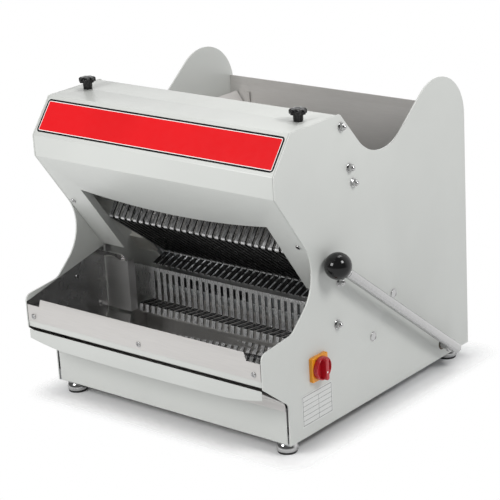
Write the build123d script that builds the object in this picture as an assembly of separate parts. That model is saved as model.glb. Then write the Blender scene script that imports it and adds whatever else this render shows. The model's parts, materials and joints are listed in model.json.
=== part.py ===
from build123d import *
import os
from math import atan2, cos, degrees, hypot, radians, sin, sqrt, tan

# Bench-top electric bread slicer. Lengths are in millimetres, angles in degrees.
# A point (y, z) of a side view is measured from the hood's nose and the side plates' lower
# edge, y rearward and z up; x is measured from the machine's middle, positive to the
# operator's right hand as seen from the front. place() moves everything to the row's frame.

# ---------------------------------------------------------------- slices and width
PITCH = 16.3
FINGERS = 29
FINGER_W = 9.6
SIDE_BAY = 67.0
PLATE_T = 3.0
COMB_HALF_W = PITCH * (FINGERS - 1) / 2 + FINGER_W / 2
HALF = COMB_HALF_W + SIDE_BAY
INNER = HALF - PLATE_T

# ---------------------------------------------------------------- side plates
REAR_Y = 611.0
BASE_FRONT_Y = 9.0
TOP_Z = 588.0
NOSE_TOP_Z = 520.5
NOSE_LOW_Z = 478.5
HOOD_SLOPE_Y = 52.5
HOOD_REAR_Y = 199.0
LIP_Y = -61.5
LIP_TOP_Z = 206.0
LIP_LOW_Z = 138.5
CHIN_Z = 83.0
MOUTH_DEEP = (126.8, 299.6)
MOUTH_R = 92.0
MOUTH_LOW = (29.0, 215.0)
MOUTH_LOW_R = 30.0
LIP_CORNER_R = 14.0
CHIN_R = 15.0
DIP = (314.4, 452.5)
DIP_R = 100.0
LOBE_SLOPE = 38.0
LOBE_R = 94.5
SMALL_R = 5.0

# ---------------------------------------------------------------- hood
SHEET = 1.5
BEND_R = 2.0
HOOD_GAP = 0.8
HOOD_BACK_DROP = 18.0
HOOD_FACE_LEN = 280.0
MOUTH_GAP = 1.0
MOUTH_HALF_W = COMB_HALF_W + MOUTH_GAP
MOUTH_ARCH_END = 92.0
MOUTH_ARCH_MID = 116.0
STRIP_RETURN = 15.0
STRIP_SCREW_S = 138.0
STRIP_SCREW_X = INNER - 13.0
BAND_T = 0.3
BAND_LOW_S = 8.0
BAND_LEN = 70.0
BAND_SIDE_GAP = 3.0
KNOB_X = INNER - 35.0
KNOB_Y = 125.0
KNOB_R = 17.2
KNOB_HEAD_H = 11.0
KNOB_STEM_R = 9.5
KNOB_STEM_H = 14.0
KNOB_LOBES = 7
LOBE_SHARE = 0.3
STUD_R = 3.0
LEDGE_HALF_Y = 35.0
LEDGE_DROP = 25.0

# ---------------------------------------------------------------- front and slice tray
LIP_PLATE_LOW = 154.0
LIP_PLATE_TOP = 204.0
LIP_PLATE_END = 188.0
LIP_RAISED_X = INNER - 39.0
LIP_SCREW_Z = 165.0
LIP_SCREW_X = INNER - 17.0
LIP_SIDE_GAP = 1.5
RAIL_LEDGE = 14.0
GUARD_Y = 168.0
GUARD_LOW_Z = 108.0
GUARD_TOP_Z = 218.0
GUARD_EAR = 22.0
GUARD_RETURN = 20.0
TRAY_REAR_Y = 197.0
CRESCENT_END_Z = 117.0
CRESCENT_MID_Z = 102.0
CRESCENT_BEND = (43.5, 109.0)
CRESCENT_TURN = (90.5, 104.2)
CRESCENT_TOP_Z = 135.0
PAN_HALF_W = INNER - 21.0
PAN_LOW_Z = 76.0
PAN_WALL_H = 15.0
PAN_REAR_Y = 342.0
PAN_SHEET = 1.2
PAN_CLEAR = 0.4
RUNNER_LAP = 12.0
RUNNER_DROP = 26.0
NECK_LOW_Z = 68.0
NECK_KNEE_Z = 85.0
NECK_TOP_Z = 129.0
FRONT_SIDE_GAP = 4.5

# ---------------------------------------------------------------- combs and blades
BLADE_ANGLE = 54.7
BLADE_FOOT = (304.0, 204.0)
BLADE_T = 0.8
BLADE_W = 12.0
BLADE_LOW = -20.0
BLADE_HIGH = 260.0
TANG_W = 5.0
TANG_GRIP = 20.0
TANG_GAP = 1.0
TANG_SIDE_GAP = 0.15
BEAM_NEAR = 2.0
BEAM_DEPTH = 18.0
BEAM_H = 24.0
STROKE = 16.0
BEAM_START = STROKE + 1.0
TANG_LEN = BEAM_START + TANG_GRIP
RAIL_GAP = 19.95
RAIL_X = PITCH * (FINGERS / 2 - 1) + RAIL_GAP
RAIL_W = 14.0
GUIDE_GAP = 0.4
GUIDE_LIP = 6.0
GUIDE_LEN = 44.0
GUIDE_LOW_T = 20.0
GUIDE_HIGH_T = 190.0
COMB_T = 2.0
WALL_Y = 234.0
WALL_TOP_Z = 187.0
WALL_MARGIN = 8.0
FLOOR_REAR_Z = 116.0
FLOOR_FRONT = (194.0, 121.0)
FLOOR_DROP = 17.0
FLOOR_LEAN = 2.5
WING_LOW_Z = 120.0
WING_FOLD = 16.0

# ---------------------------------------------------------------- swinging pusher and lever
PIVOT = (515.0, 30.0)
FACE_ANGLE = 37.3
FACE_IN_R = 292.0
FACE_OUT_R = 493.0
SHELF_LEN = 43.0
SHELF_ANGLE = 18.0
FINGER_T = 3.0
FLANGE_LEN = 137.0
BAR_SIZE = 20.0
BAR_WALL = 2.0
BAR_END = 2.0
SHAFT_R = 10.0
ARM_X = INNER - 14.0
ARM_T = 6.0
ARM_HALF_W = 12.0
ARM_FLAT = 1.0
HUB_R = 18.0
HUB_PROUD = 4.0
LEVER_X = HALF + 28.0
LEVER_R = 10.0
LEVER_LEN = 475.0
LEVER_ANGLE = 37.5
LEVER_TAIL = 17.0
LEVER_END_R = 4.0
LEVER_HUB_R = 14.0
LEVER_HUB_STEP = 2.0
BALL_R = 26.0
RUN_GAP = 0.06
BUSH_R = 13.0
BUSH_FLANGE_R = 20.0
BUSH_FLANGE_T = 3.0
BUFFER_GAP = 0.3
BUFFER_LAP = 3.0

# ---------------------------------------------------------------- hopper and inner covers
HOPPER_FRONT_LOW = (226.0, 466.0)
HOPPER_REAR_TOP_Z = 507.0
HOPPER_FOLD_Z = 489.0
HOPPER_REAR_Y = 600.0
HOPPER_REAR_LOW = (585.0, 300.0)
DECK_MID = (500.0, 300.0)
DECK_KNEE = (430.0, 282.0)
DECK_HALF_W = ARM_X - 7.0
CHEEK_X = MOUTH_HALF_W + 6.0
CHEEK_SLOPE = 35.0
CHEEK_FRONT_Y = 400.0
TUBE_R = 9.0
TUBE_WALL = 1.5
REAR_TUBE = (349.4, 192.3)
FRONT_TUBE = (277.6, 126.8)
CHEEK_LOW_Z = 425.0
CHEEK_H = 50.0
CHEEK_TAB = 12.0
DECK_UPTURN = 20.0
REAR_PANEL_Y = 604.0
REAR_PANEL_TOP_Z = 480.0
PANEL_FOLD = 12.0
LOUVRE_COLUMN = 150.0
LOUVRES = 8
LOUVRE_W = 90.0
LOUVRE_H = 5.0
LOUVRE_STEP = 14.0
LOUVRE_LOW_Z = 110.0

# ---------------------------------------------------------------- drive
CRANK_T = -165.0
CRANK_R = 8.0
ECC_R = 17.0
ECC_GAP = 0.5
RING_WALL = 6.0
LINK_T = 8.0
LINK_A_X = RAIL_X - 35.0
LINK_B_X = RAIL_X - 19.0
BEARING_R = 28.0
BEARING_T = 13.0
SHAFT_END_GAP = 2.0
PULLEY_X = 44.0 - INNER
PULLEY_W = 16.0
BELT_W = 9.0
BELT_T = 5.0
BELT_GAP = 0.3
DRIVEN_R = 45.0
DRIVER_R = 30.0
RIM = 4.0
MOTOR_CENTRE = (500.0, 148.0)
MOTOR_R = 62.0
MOTOR_SHAFT_R = 7.0
MOTOR_LEFT_X = -150.0
MOTOR_LEN = 190.0
COWL_LEN = 45.0
SHIELD_T = 14.0
ROTOR_DEPTH = 28.0
MOTOR_FINS = 28
FIN_H = 5.0
FIN_T = 2.0
FIN_ROOT = 1.0
MOTOR_FOOT_HALF_X = 45.0
MOTOR_FOOT_Y = 38.0
MOTOR_FOOT_W = 20.0
TERMINAL_SIZE = 64.0
TERMINAL_H = 28.0
BRACKET_T = 3.0
BRACKET_TOP_Z = 77.0
BRACKET_HALF_X = 100.0
BRACKET_HALF_Y = 52.0
BRACKET_FOOT = 18.0
PAN_T = 2.0
PAN_Z = 3.0
BASE_PAN_Y = 352.0

# ---------------------------------------------------------------- isolator, label, nuts, feet
ISOLATOR = (98.0, 128.0)
ISOLATOR_SIZE = 48.0
ISOLATOR_T = 8.0
SWITCH_SIZE = 42.0
SWITCH_DEPTH = 34.0
SWITCH_CORNER_R = 3.0
SOFT_EDGE_R = 1.5
SPINDLE_R = 4.0
PADLOCK_HOLE_R = 2.5
PADLOCK_INSET = (11.5, 6.5)
HANDLE_R = 22.5
HANDLE_T = 9.0
GRIP_W = 9.0
GRIP_LEN = 43.0
GRIP_END_R = 4.05
HANDLE_GAP = 0.4
LABEL = (94.0, 53.5)
LABEL_SIZE = (94.0, 64.0)
LABEL_T = 0.3
HANDLE_FLOOR = 3.0
HANDLE_RIM = 2.5
GRIP_PROUD = 8.0
PLUG_DEPTH = 8.0
PLUG_LAP = 0.5
EDGE_SHARE = 0.6
SCREW_SLOT = 1.2
SLOT_SHARE = 1.1
INNER_SCREW = (84.0, 201.0)
FOOT_PLATE_T = 3.0
FOOT_STEM_LEN = 22.0
FOOT_NUT_R = 9.0
FOOT_NUT_H = 5.0
NUT_AF = 13.0
NUT_H = 6.5
NUT_DOME_R = 5.2
WASHER_R = 9.0
WASHER_T = 1.5
HOOD_NUT = (200.0, 564.5)
HOPPER_NUTS = ((221.4, 481.2), (231.3, 449.8))
GUARD_NUTS = ((177.5, 270.9), (164.9, 190.2))
SCREW_R = 5.5
SCREW_HEAD_H = 2.5
FOOT_X = INNER - 25.0
FOOT_FRONT_Y = 33.0
FOOT_REAR_Y = 573.0
FOOT_H = 25.0
FOOT_R = 21.0
FOOT_TOP_R = 11.0
FOOT_SHOULDER = (17.5, -5.0)
FOOT_WAIST = 0.62
FOOT_PAD_EDGE = 1.0
FOOT_PAD_H = 5.0
FOOT_PAD_R = 19.0
FOOT_STEM_R = 5.0
BRACKET_W = 44.0
GLAND_X = -200.0
GLAND_Z = 60.0
GLAND_R = 11.0
GLAND_STEP = 1.0
GLAND_PROUD = 14.0
GLAND_NUT = 5.0
GLAND_THREAD_R = 8.0
GLAND_BORE_R = 4.5

# How far a cutting shape runs past what it cuts, and the shortest edge that is drawn.
OVER = 1.0
TINY = 1e-6

FINGER_XS = [PITCH * (i - (FINGERS - 1) / 2) for i in range(FINGERS)]
BLADE_XS = [PITCH * (i + 1 - FINGERS / 2) for i in range(FINGERS - 1)]

# The row's origin is the middle of the footprint on the table, lever and gland included.
MID_X = ((LEVER_X + BALL_R) - (HALF + WASHER_T + NUT_H + NUT_DOME_R)) / 2
MID_Y = (LIP_Y + REAR_PANEL_Y + SHEET + GLAND_PROUD) / 2

# The ball is cut flat where its section is as wide as the bar.
BALL_SEAT = sqrt(BALL_R**2 - LEVER_R**2)


def place(shape):
    """Move a shape from the machine's own coordinates to the row's frame."""
    return Pos(-MID_X, -MID_Y, FOOT_H) * shape


# ================================================================ small tools
def side_face(points, radii):
    """A face of the side view from its corners, each rounded by its own radius."""
    edges = []
    n = len(points)
    tangents = []
    for i in range(n):
        here = Vector(*points[i])
        before = (Vector(*points[i - 1]) - here).normalized()
        after = (Vector(*points[(i + 1) % n]) - here).normalized()
        half = radians(before.get_angle(after)) / 2
        back = radii[i] / tan(half) if radii[i] else 0.0
        mid = here + (before + after).normalized() * (radii[i] / sin(half) - radii[i])
        tangents.append((here + before * back, mid, here + after * back))
    for i in range(n):
        start, mid, end = tangents[i]
        if radii[i]:
            edges.append(ThreePointArc(start, mid, end))
        following = tangents[(i + 1) % n][0]
        if (following - end).length > TINY:
            edges.append(Line(end, following))
    return Plane.YZ * make_face(edges)


def slab(face, x_low, x_high):
    """A side-view face given thickness between two x places."""
    return Pos(x_low, 0, 0) * extrude(face, x_high - x_low, dir=(1, 0, 0))


def unit(a, b):
    length = hypot(b[0] - a[0], b[1] - a[1])
    return ((b[0] - a[0]) / length, (b[1] - a[1]) / length)


def offset_path(path, distance):
    """The path moved to its right-hand side by a distance, with mitred corners."""
    moved = []
    for i, p in enumerate(path):
        d_in = unit(path[i - 1], p) if i else unit(p, path[1])
        d_out = unit(p, path[i + 1]) if i < len(path) - 1 else d_in
        n_in, n_out = (d_in[1], -d_in[0]), (d_out[1], -d_out[0])
        scale = distance / (1 + n_in[0] * n_out[0] + n_in[1] * n_out[1])
        moved.append((p[0] + (n_in[0] + n_out[0]) * scale, p[1] + (n_in[1] + n_out[1]) * scale))
    return moved


def sheet(path, thickness, x_low, x_high, bend=BEND_R):
    """A folded sheet: the path is its one face, the thickness lies to the path's right."""
    right = offset_path(path, thickness)
    outline = list(path) + right[::-1]
    radii = [0.0]
    for i in range(1, len(path) - 1):
        d_in, d_out = unit(path[i - 1], path[i]), unit(path[i], path[i + 1])
        turns_right = d_in[0] * d_out[1] - d_in[1] * d_out[0] < 0
        radii.append(bend + thickness if turns_right else bend)
    radii.append(0.0)
    inner = [2 * bend + thickness - r if r else 0.0 for r in radii]
    return slab(side_face(outline, radii + inner[::-1]), x_low, x_high)


def box(x_range, y_range, z_range):
    size = [b - a for a, b in (x_range, y_range, z_range)]
    centre = [(a + b) / 2 for a, b in (x_range, y_range, z_range)]
    return Pos(*centre) * Box(*size)


def rod(x_low, x_high, point, radius):
    """A round bar along x through a point of the side view."""
    return Pos((x_low + x_high) / 2, *point) * Rot(0, 90, 0) * Cylinder(radius, x_high - x_low)


def ring(x_low, x_high, point, outer, inner):
    return rod(x_low, x_high, point, outer) - rod(x_low - OVER, x_high + OVER, point, inner)


def mirrored(shape):
    """The same piece on the machine's other side."""
    return mirror(shape, Plane.YZ)


def both(shape):
    return Compound([shape, mirrored(shape)])


def solids_of(shape):
    return Compound(list(shape.solids()))


def polar(radius, along, angle=FACE_ANGLE):
    """A point at a radius from the pusher's pivot, moved along the swing's tangent."""
    a = radians(angle)
    return (PIVOT[0] - radius * cos(a) + along * sin(a), PIVOT[1] + radius * sin(a) + along * cos(a))


def on_blade(t, offset):
    """A point at a distance t up the blades' line and an offset behind it."""
    a = radians(BLADE_ANGLE)
    return (BLADE_FOOT[0] - t * cos(a) + offset * sin(a), BLADE_FOOT[1] + t * sin(a) + offset * cos(a))


def blade_block(x_low, x_high, t_low, t_high, off_low, off_high):
    """A block square to the blades."""
    corners = [on_blade(t_low, off_low), on_blade(t_high, off_low)]
    corners += [on_blade(t_high, off_high), on_blade(t_low, off_high)]
    return slab(side_face(corners, [0] * 4), x_low, x_high)


# ================================================================ side plates
NOSE_DIR = unit((0, NOSE_LOW_Z), MOUTH_DEEP)
LOBE_CORNER_Z = DIP[1] + (REAR_Y - DIP[0]) * tan(radians(LOBE_SLOPE))


def plate_face():
    corners = [
        ((BASE_FRONT_Y, 0), 0),
        ((REAR_Y, 0), 0),
        ((REAR_Y, LOBE_CORNER_Z), LOBE_R),
        (DIP, DIP_R),
        ((HOOD_REAR_Y, TOP_Z), SMALL_R),
        ((HOOD_SLOPE_Y, TOP_Z), SMALL_R),
        ((0, NOSE_TOP_Z), SMALL_R),
        ((0, NOSE_LOW_Z), SMALL_R),
        (MOUTH_DEEP, MOUTH_R),
        (MOUTH_LOW, MOUTH_LOW_R),
        ((LIP_Y, LIP_TOP_Z), LIP_CORNER_R),
        ((LIP_Y, LIP_LOW_Z), SMALL_R),
        ((BASE_FRONT_Y, CHIN_Z), CHIN_R),
    ]
    return side_face([c for c, _ in corners], [r for _, r in corners])


def side_plate(sign):
    low, high = (INNER, HALF) if sign > 0 else (-HALF, -INNER)
    plate = slab(plate_face(), low, high)
    for point in (REAR_TUBE, FRONT_TUBE):
        plate -= rod(low - OVER, high + OVER, point, TUBE_R)
    return plate - rod(low - OVER, high + OVER, PIVOT, BUSH_R)


def cross_tube(point):
    return ring(-HALF, HALF, point, TUBE_R, TUBE_R - TUBE_WALL)


# ================================================================ hood
def along_face(s, depth=0.0):
    """A point of the hood's sloping face, s down from the nose, depth into the machine."""
    y = NOSE_DIR[0] * s - NOSE_DIR[1] * depth
    return (y, NOSE_LOW_Z + NOSE_DIR[1] * s + NOSE_DIR[0] * depth)


HOOD_HALF_W = INNER - HOOD_GAP


def hood_cover():
    back = HOOD_REAR_Y - SMALL_R
    path = [along_face(HOOD_FACE_LEN), (0, NOSE_LOW_Z), (0, NOSE_TOP_Z)]
    path += [(HOOD_SLOPE_Y, TOP_Z), (back, TOP_Z), (back, TOP_Z - HOOD_BACK_DROP)]
    hood = sheet(path, SHEET, -HOOD_HALF_W, HOOD_HALF_W)
    # The mouth's upper edge is an arch that hangs lowest in the middle.
    sagitta = MOUTH_ARCH_MID - MOUTH_ARCH_END
    past = HOOD_FACE_LEN + MOUTH_R
    half = MOUTH_HALF_W
    edges = [
        ThreePointArc((-half, MOUTH_ARCH_END), (0, MOUTH_ARCH_END + sagitta), (half, MOUTH_ARCH_END)),
        Line((half, MOUTH_ARCH_END), (half, past)),
        Line((half, past), (-half, past)),
        Line((-half, past), (-half, MOUTH_ARCH_END)),
    ]
    # In the plane of the face, s runs down the slope.
    down = Plane(origin=(0, 0, NOSE_LOW_Z), x_dir=(1, 0, 0), z_dir=(0, -NOSE_DIR[1], NOSE_DIR[0]))
    mouth = extrude(down * make_face(edges), 4 * SHEET, both=True)
    hood -= mouth
    # The strips beside the mouth are folded back along their inner edges.
    strip = [along_face(MOUTH_ARCH_END + SMALL_R, SHEET), along_face(HOOD_FACE_LEN, SHEET)]
    strip += [along_face(HOOD_FACE_LEN, STRIP_RETURN), along_face(MOUTH_ARCH_END + SMALL_R, STRIP_RETURN)]
    fold = slab(side_face(strip, [0, 0, SMALL_R, SMALL_R]), MOUTH_HALF_W, MOUTH_HALF_W + SHEET)
    hood += fold
    hood += mirrored(fold)
    for x in (-KNOB_X, KNOB_X):
        hood -= Pos(x, KNOB_Y, TOP_Z) * Cylinder(STUD_R + PAN_CLEAR, 4 * SHEET)
    return hood


def front_band():
    """The coloured band laid on the hood's upper sloping face."""
    along = unit((0, NOSE_TOP_Z), (HOOD_SLOPE_Y, TOP_Z))
    out = (-along[1], along[0])
    low = (along[0] * BAND_LOW_S, NOSE_TOP_Z + along[1] * BAND_LOW_S)
    high = (low[0] + along[0] * BAND_LEN, low[1] + along[1] * BAND_LEN)
    corners = [low, high, (high[0] + out[0] * BAND_T, high[1] + out[1] * BAND_T)]
    corners.append((low[0] + out[0] * BAND_T, low[1] + out[1] * BAND_T))
    half = HOOD_HALF_W - BAND_SIDE_GAP
    return slab(side_face(corners, [0] * 4), -half, half)


def hood_brackets():
    """Two angle brackets inside the plates, with the hood's studs welded on."""
    top = TOP_Z - SHEET
    reach = 2 * (INNER - KNOB_X) + SHEET
    y_range = (KNOB_Y - LEDGE_HALF_Y, KNOB_Y + LEDGE_HALF_Y)
    ledge = box((INNER - reach, INNER), y_range, (top - SHEET, top))
    ledge += box((INNER - SHEET, INNER), y_range, (top - LEDGE_DROP, top))
    stud_top = TOP_Z + KNOB_STEM_H + KNOB_HEAD_H / 2
    stud_h = stud_top - top
    return both(ledge + Pos(KNOB_X, KNOB_Y, top + stud_h / 2) * Cylinder(STUD_R, stud_h))


def star_knob(x):
    head_z = TOP_Z + KNOB_STEM_H
    knob = Pos(x, KNOB_Y, TOP_Z + KNOB_STEM_H / 2) * Cylinder(KNOB_STEM_R, KNOB_STEM_H)
    lobe_r = KNOB_R * LOBE_SHARE
    head = Pos(x, KNOB_Y, head_z + KNOB_HEAD_H / 2) * Cylinder(KNOB_R - lobe_r, KNOB_HEAD_H)
    for i in range(KNOB_LOBES):
        turn = Rot(0, 0, 360.0 * i / KNOB_LOBES)
        lobe = turn * Pos(KNOB_R - lobe_r, 0, 0) * Cylinder(lobe_r, KNOB_HEAD_H)
        head += Pos(x, KNOB_Y, head_z + KNOB_HEAD_H / 2) * lobe
    knob = knob + head
    bore_h = KNOB_STEM_H + KNOB_HEAD_H / 2 + PAN_CLEAR
    return knob - Pos(x, KNOB_Y, TOP_Z + bore_h / 2) * Cylinder(STUD_R + RUN_GAP, bore_h)


# ================================================================ mouth and front
def slice_lip():
    """The polished front plate of the slice tray, higher between its two end notches."""
    half = INNER - LIP_SIDE_GAP
    corners = [(-half, LIP_PLATE_LOW), (half, LIP_PLATE_LOW), (half, LIP_PLATE_END)]
    corners += [(LIP_RAISED_X + SMALL_R, LIP_PLATE_END), (LIP_RAISED_X, LIP_PLATE_TOP)]
    corners += [(-LIP_RAISED_X, LIP_PLATE_TOP), (-LIP_RAISED_X - SMALL_R, LIP_PLATE_END)]
    corners.append((-half, LIP_PLATE_END))
    outline = make_face(Polyline(*corners, close=True))
    plate = extrude(Plane.XZ * outline, SHEET, dir=(0, 1, 0))
    return Pos(0, LIP_Y, 0) * plate


def front_rail():
    """The painted rail behind the lip plate; its lower edge shows as a strip."""
    y = LIP_Y + SHEET
    path = [(y + RAIL_LEDGE, LIP_LOW_Z + SHEET), (y, LIP_LOW_Z + SHEET), (y, LIP_PLATE_END - SHEET)]
    return sheet(path, SHEET, -INNER, INNER)


TRAY_SLOPE = unit((LIP_Y + 3 * SHEET, LIP_PLATE_END - SHEET), (GUARD_Y, GUARD_LOW_Z))


def slice_tray():
    """The polished floor that falls from the lip to below the comb."""
    front = (LIP_Y + 3 * SHEET, LIP_PLATE_END - SHEET)
    run = (TRAY_REAR_Y - front[0]) / TRAY_SLOPE[0]
    rear = (TRAY_REAR_Y, front[1] + TRAY_SLOPE[1] * run)
    tray = sheet([front, rear], SHEET, -INNER, INNER)
    # A notch at the right plate leaves room for the switch's cover.
    half = SWITCH_SIZE / 2 + SHEET + 2 * PAN_CLEAR
    x_range = (INNER - SWITCH_DEPTH - SHEET - 2 * PAN_CLEAR, INNER + OVER)
    return tray - box(x_range, (ISOLATOR[0] - half, ISOLATOR[0] + half), (0, TOP_Z))


def side_guard():
    """The polished cover that closes the mouth's corner beside the comb."""
    floor_z = GUARD_LOW_Z + PAN_CLEAR
    lean = radians(BLADE_ANGLE)
    ear = (GUARD_Y - GUARD_EAR * cos(lean), GUARD_TOP_Z + GUARD_EAR * sin(lean))
    guard = sheet([(GUARD_Y, floor_z), (GUARD_Y, GUARD_TOP_Z), ear], SHEET, MOUTH_HALF_W, INNER)
    back = GUARD_Y + SHEET
    guard += box((MOUTH_HALF_W, MOUTH_HALF_W + SHEET), (back, GUARD_Y + GUARD_RETURN), (floor_z, GUARD_TOP_Z))
    tab_top = GUARD_NUTS[0][1] + WASHER_R
    guard += box((INNER - SHEET, INNER), (back, GUARD_NUTS[0][0] + WASHER_R), (floor_z, tab_top))
    return guard


def base_front_panel():
    """The painted front of the base, which ends just below the crumb pan."""
    y = BASE_FRONT_Y
    half = INNER - FRONT_SIDE_GAP
    low = sheet([(y + PANEL_FOLD, 0), (y, 0), (y, PAN_LOW_Z - 2 * PAN_CLEAR)], SHEET, -half, half)
    # The bottom fold stops short of the front feet's brackets.
    x_range = (INNER - BRACKET_W - PAN_CLEAR, INNER)
    cut = box(x_range, (y + SHEET, y + 2 * PANEL_FOLD), (-OVER, SHEET + BEND_R))
    return low - (cut + mirrored(cut))


def tray_front():
    """The crumb tray's painted front, its lower edge curving up towards both ends."""
    half = INNER - LIP_SIDE_GAP
    bend_x, bend_z = half - CRESCENT_BEND[0], CRESCENT_BEND[1]
    turn_x, turn_z = half - CRESCENT_TURN[0], CRESCENT_TURN[1]
    edges = [
        Line((half, CRESCENT_END_Z), (half, CRESCENT_TOP_Z)),
        Line((half, CRESCENT_TOP_Z), (-half, CRESCENT_TOP_Z)),
        Line((-half, CRESCENT_TOP_Z), (-half, CRESCENT_END_Z)),
        ThreePointArc((-half, CRESCENT_END_Z), (-bend_x, bend_z), (-turn_x, turn_z)),
        ThreePointArc((-turn_x, turn_z), (0, CRESCENT_MID_Z), (turn_x, turn_z)),
        ThreePointArc((turn_x, turn_z), (bend_x, bend_z), (half, CRESCENT_END_Z)),
    ]
    return Pos(0, LIP_Y, 0) * extrude(Plane.XZ * make_face(edges), SHEET, dir=(0, 1, 0))


PAN_FRONT_Y = BASE_FRONT_Y + 3 * SHEET


def crumb_pan():
    """The shallow sheet pan, and the sloping neck that joins it to the tray's front."""
    outer = box((-PAN_HALF_W, PAN_HALF_W), (PAN_FRONT_Y, PAN_REAR_Y), (PAN_LOW_Z, PAN_LOW_Z + PAN_WALL_H))
    x = PAN_HALF_W - PAN_SHEET
    y_range = (PAN_FRONT_Y + PAN_SHEET, PAN_REAR_Y - PAN_SHEET)
    pan = outer - box((-x, x), y_range, (PAN_LOW_Z + PAN_SHEET, PAN_LOW_Z + 2 * PAN_WALL_H))
    # The neck laps over the base's front panel and runs up behind the tray's front.
    half = INNER - FRONT_SIDE_GAP
    skirt_y = BASE_FRONT_Y - PAN_SHEET - PAN_CLEAR
    knee = (skirt_y, NECK_KNEE_Z)
    top = (LIP_Y + SHEET, NECK_TOP_Z)
    middle = ((knee[0] + top[0]) / 2, (knee[1] + top[1]) / 2)
    pan += sheet([(skirt_y, NECK_LOW_Z), knee, middle], PAN_SHEET, -half, half, bend=CHIN_R)
    pan += sheet([middle, top, (top[0], CRESCENT_TOP_Z - SHEET)], PAN_SHEET, -half, half)
    web_z = PAN_LOW_Z + PAN_CLEAR
    return pan + box((-x, x), (skirt_y, PAN_FRONT_Y + PAN_SHEET), (web_z, web_z + PAN_SHEET))


def tray_runners():
    """Shelves under the pan's two edges, each folded from the side plate inward."""
    top = PAN_LOW_Z - PAN_CLEAR
    y_range = (BASE_FRONT_Y + 2 * SHEET, PAN_REAR_Y)
    shelf = box((PAN_HALF_W - RUNNER_LAP, INNER), y_range, (top - SHEET, top))
    shelf += box((INNER - SHEET, INNER), y_range, (top - RUNNER_DROP, top - SHEET))
    return both(shelf)


# ================================================================ combs
def outfeed_comb():
    """The fixed slotted guide: a wall, a floor and bent-down tips between the blades' slots."""
    tip = (FLOOR_FRONT[0] - FLOOR_LEAN, FLOOR_FRONT[1] - FLOOR_DROP)
    path = [tip, FLOOR_FRONT, (WALL_Y, FLOOR_REAR_Z), (WALL_Y, WALL_TOP_Z)]
    comb = sheet(path, COMB_T, -COMB_HALF_W, COMB_HALF_W)
    half = (PITCH - FINGER_W) / 2
    y_range = (tip[0] - COMB_T, WALL_Y + 2 * COMB_T)
    z_range = (tip[1] - COMB_T, WALL_TOP_Z - WALL_MARGIN)
    comb -= Compound([box((x - half, x + half), y_range, z_range) for x in BLADE_XS])
    # Beside the slots the wall runs on to the side plates, where its ends are folded back.
    wing = box((COMB_HALF_W, INNER), (WALL_Y, WALL_Y + COMB_T), (WING_LOW_Z, WALL_TOP_Z))
    wing += box((INNER - COMB_T, INNER), (WALL_Y, WALL_Y + WING_FOLD), (WING_LOW_Z, WALL_TOP_Z))
    return comb + wing + mirrored(wing)


def pusher_fingers():
    tip_dir = (-cos(radians(SHELF_ANGLE)), -sin(radians(SHELF_ANGLE)))
    corner = polar(FACE_IN_R, 0)
    tip = (corner[0] + tip_dir[0] * SHELF_LEN, corner[1] + tip_dir[1] * SHELF_LEN)
    path = [tip, corner, polar(FACE_OUT_R, 0), polar(FACE_OUT_R, FLANGE_LEN)]
    one = sheet(path, FINGER_T, -FINGER_W / 2, FINGER_W / 2)
    return Compound([Pos(x, 0, 0) * one for x in FINGER_XS])


BAR_S = FLANGE_LEN - BAR_SIZE - BAR_END
BAR_R = FACE_OUT_R - FINGER_T - BAR_SIZE


def pusher_bar():
    def corners(inset):
        low, high = BAR_R + inset, BAR_R + BAR_SIZE - inset
        near, far = BAR_S + inset, BAR_S + BAR_SIZE - inset
        return [polar(low, near), polar(high, near), polar(high, far), polar(low, far)]

    outer = slab(side_face(corners(0), [BEND_R] * 4), -ARM_X, ARM_X)
    return outer - slab(side_face(corners(BAR_WALL), [0] * 4), -ARM_X - OVER, ARM_X + OVER)


ARM_END = polar(BAR_R + BAR_SIZE / 2, BAR_S + BAR_SIZE / 2)
ARM_ANGLE = degrees(atan2(ARM_END[1] - PIVOT[1], PIVOT[0] - ARM_END[0]))
ARM_LEN = hypot(ARM_END[0] - PIVOT[0], ARM_END[1] - PIVOT[1])


def pusher_arm(sign):
    corners = [polar(-ARM_HALF_W, ARM_HALF_W, ARM_ANGLE), polar(-ARM_HALF_W, -ARM_HALF_W, ARM_ANGLE)]
    reach = ARM_LEN + ARM_HALF_W
    corners += [polar(reach, -ARM_HALF_W, ARM_ANGLE), polar(reach, ARM_HALF_W, ARM_ANGLE)]
    arm = slab(side_face(corners, [ARM_HALF_W - ARM_FLAT] * 4), ARM_X, ARM_X + ARM_T)
    arm += rod(ARM_X - HUB_PROUD, ARM_X + ARM_T + HUB_PROUD, PIVOT, HUB_R)
    arm -= rod(ARM_X - 2 * HUB_PROUD, ARM_X + ARM_T + 2 * HUB_PROUD, PIVOT, SHAFT_R)
    return arm if sign > 0 else mirrored(arm)


HUB_X = LEVER_X - LEVER_R - LEVER_HUB_STEP


def pusher_shaft():
    return rod(-HALF, HUB_X, PIVOT, SHAFT_R)


def lever_rod():
    """A round bar with a rounded lower end, and the hub that pins it to the shaft's end."""
    length = LEVER_LEN - BALL_SEAT + LEVER_TAIL
    bar = Pos(0, 0, length / 2 - LEVER_TAIL) * Cylinder(LEVER_R, length)
    bar = fillet(bar.edges().sort_by(Axis.Z)[0], LEVER_END_R)
    hub = rod(HUB_X, LEVER_X - LEVER_R / 2, PIVOT, LEVER_HUB_R)
    # The bar is drawn upright, leaned forward and moved to the pivot.
    return hub + Pos(LEVER_X, *PIVOT) * Rot(90 - LEVER_ANGLE, 0, 0) * bar


def lever_ball():
    ball = Sphere(BALL_R) - Pos(0, 0, -BALL_SEAT - BALL_R) * Box(2 * BALL_R, 2 * BALL_R, 2 * BALL_R)
    return Pos(LEVER_X, *PIVOT) * Rot(90 - LEVER_ANGLE, 0, 0) * Pos(0, 0, LEVER_LEN) * ball


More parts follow.
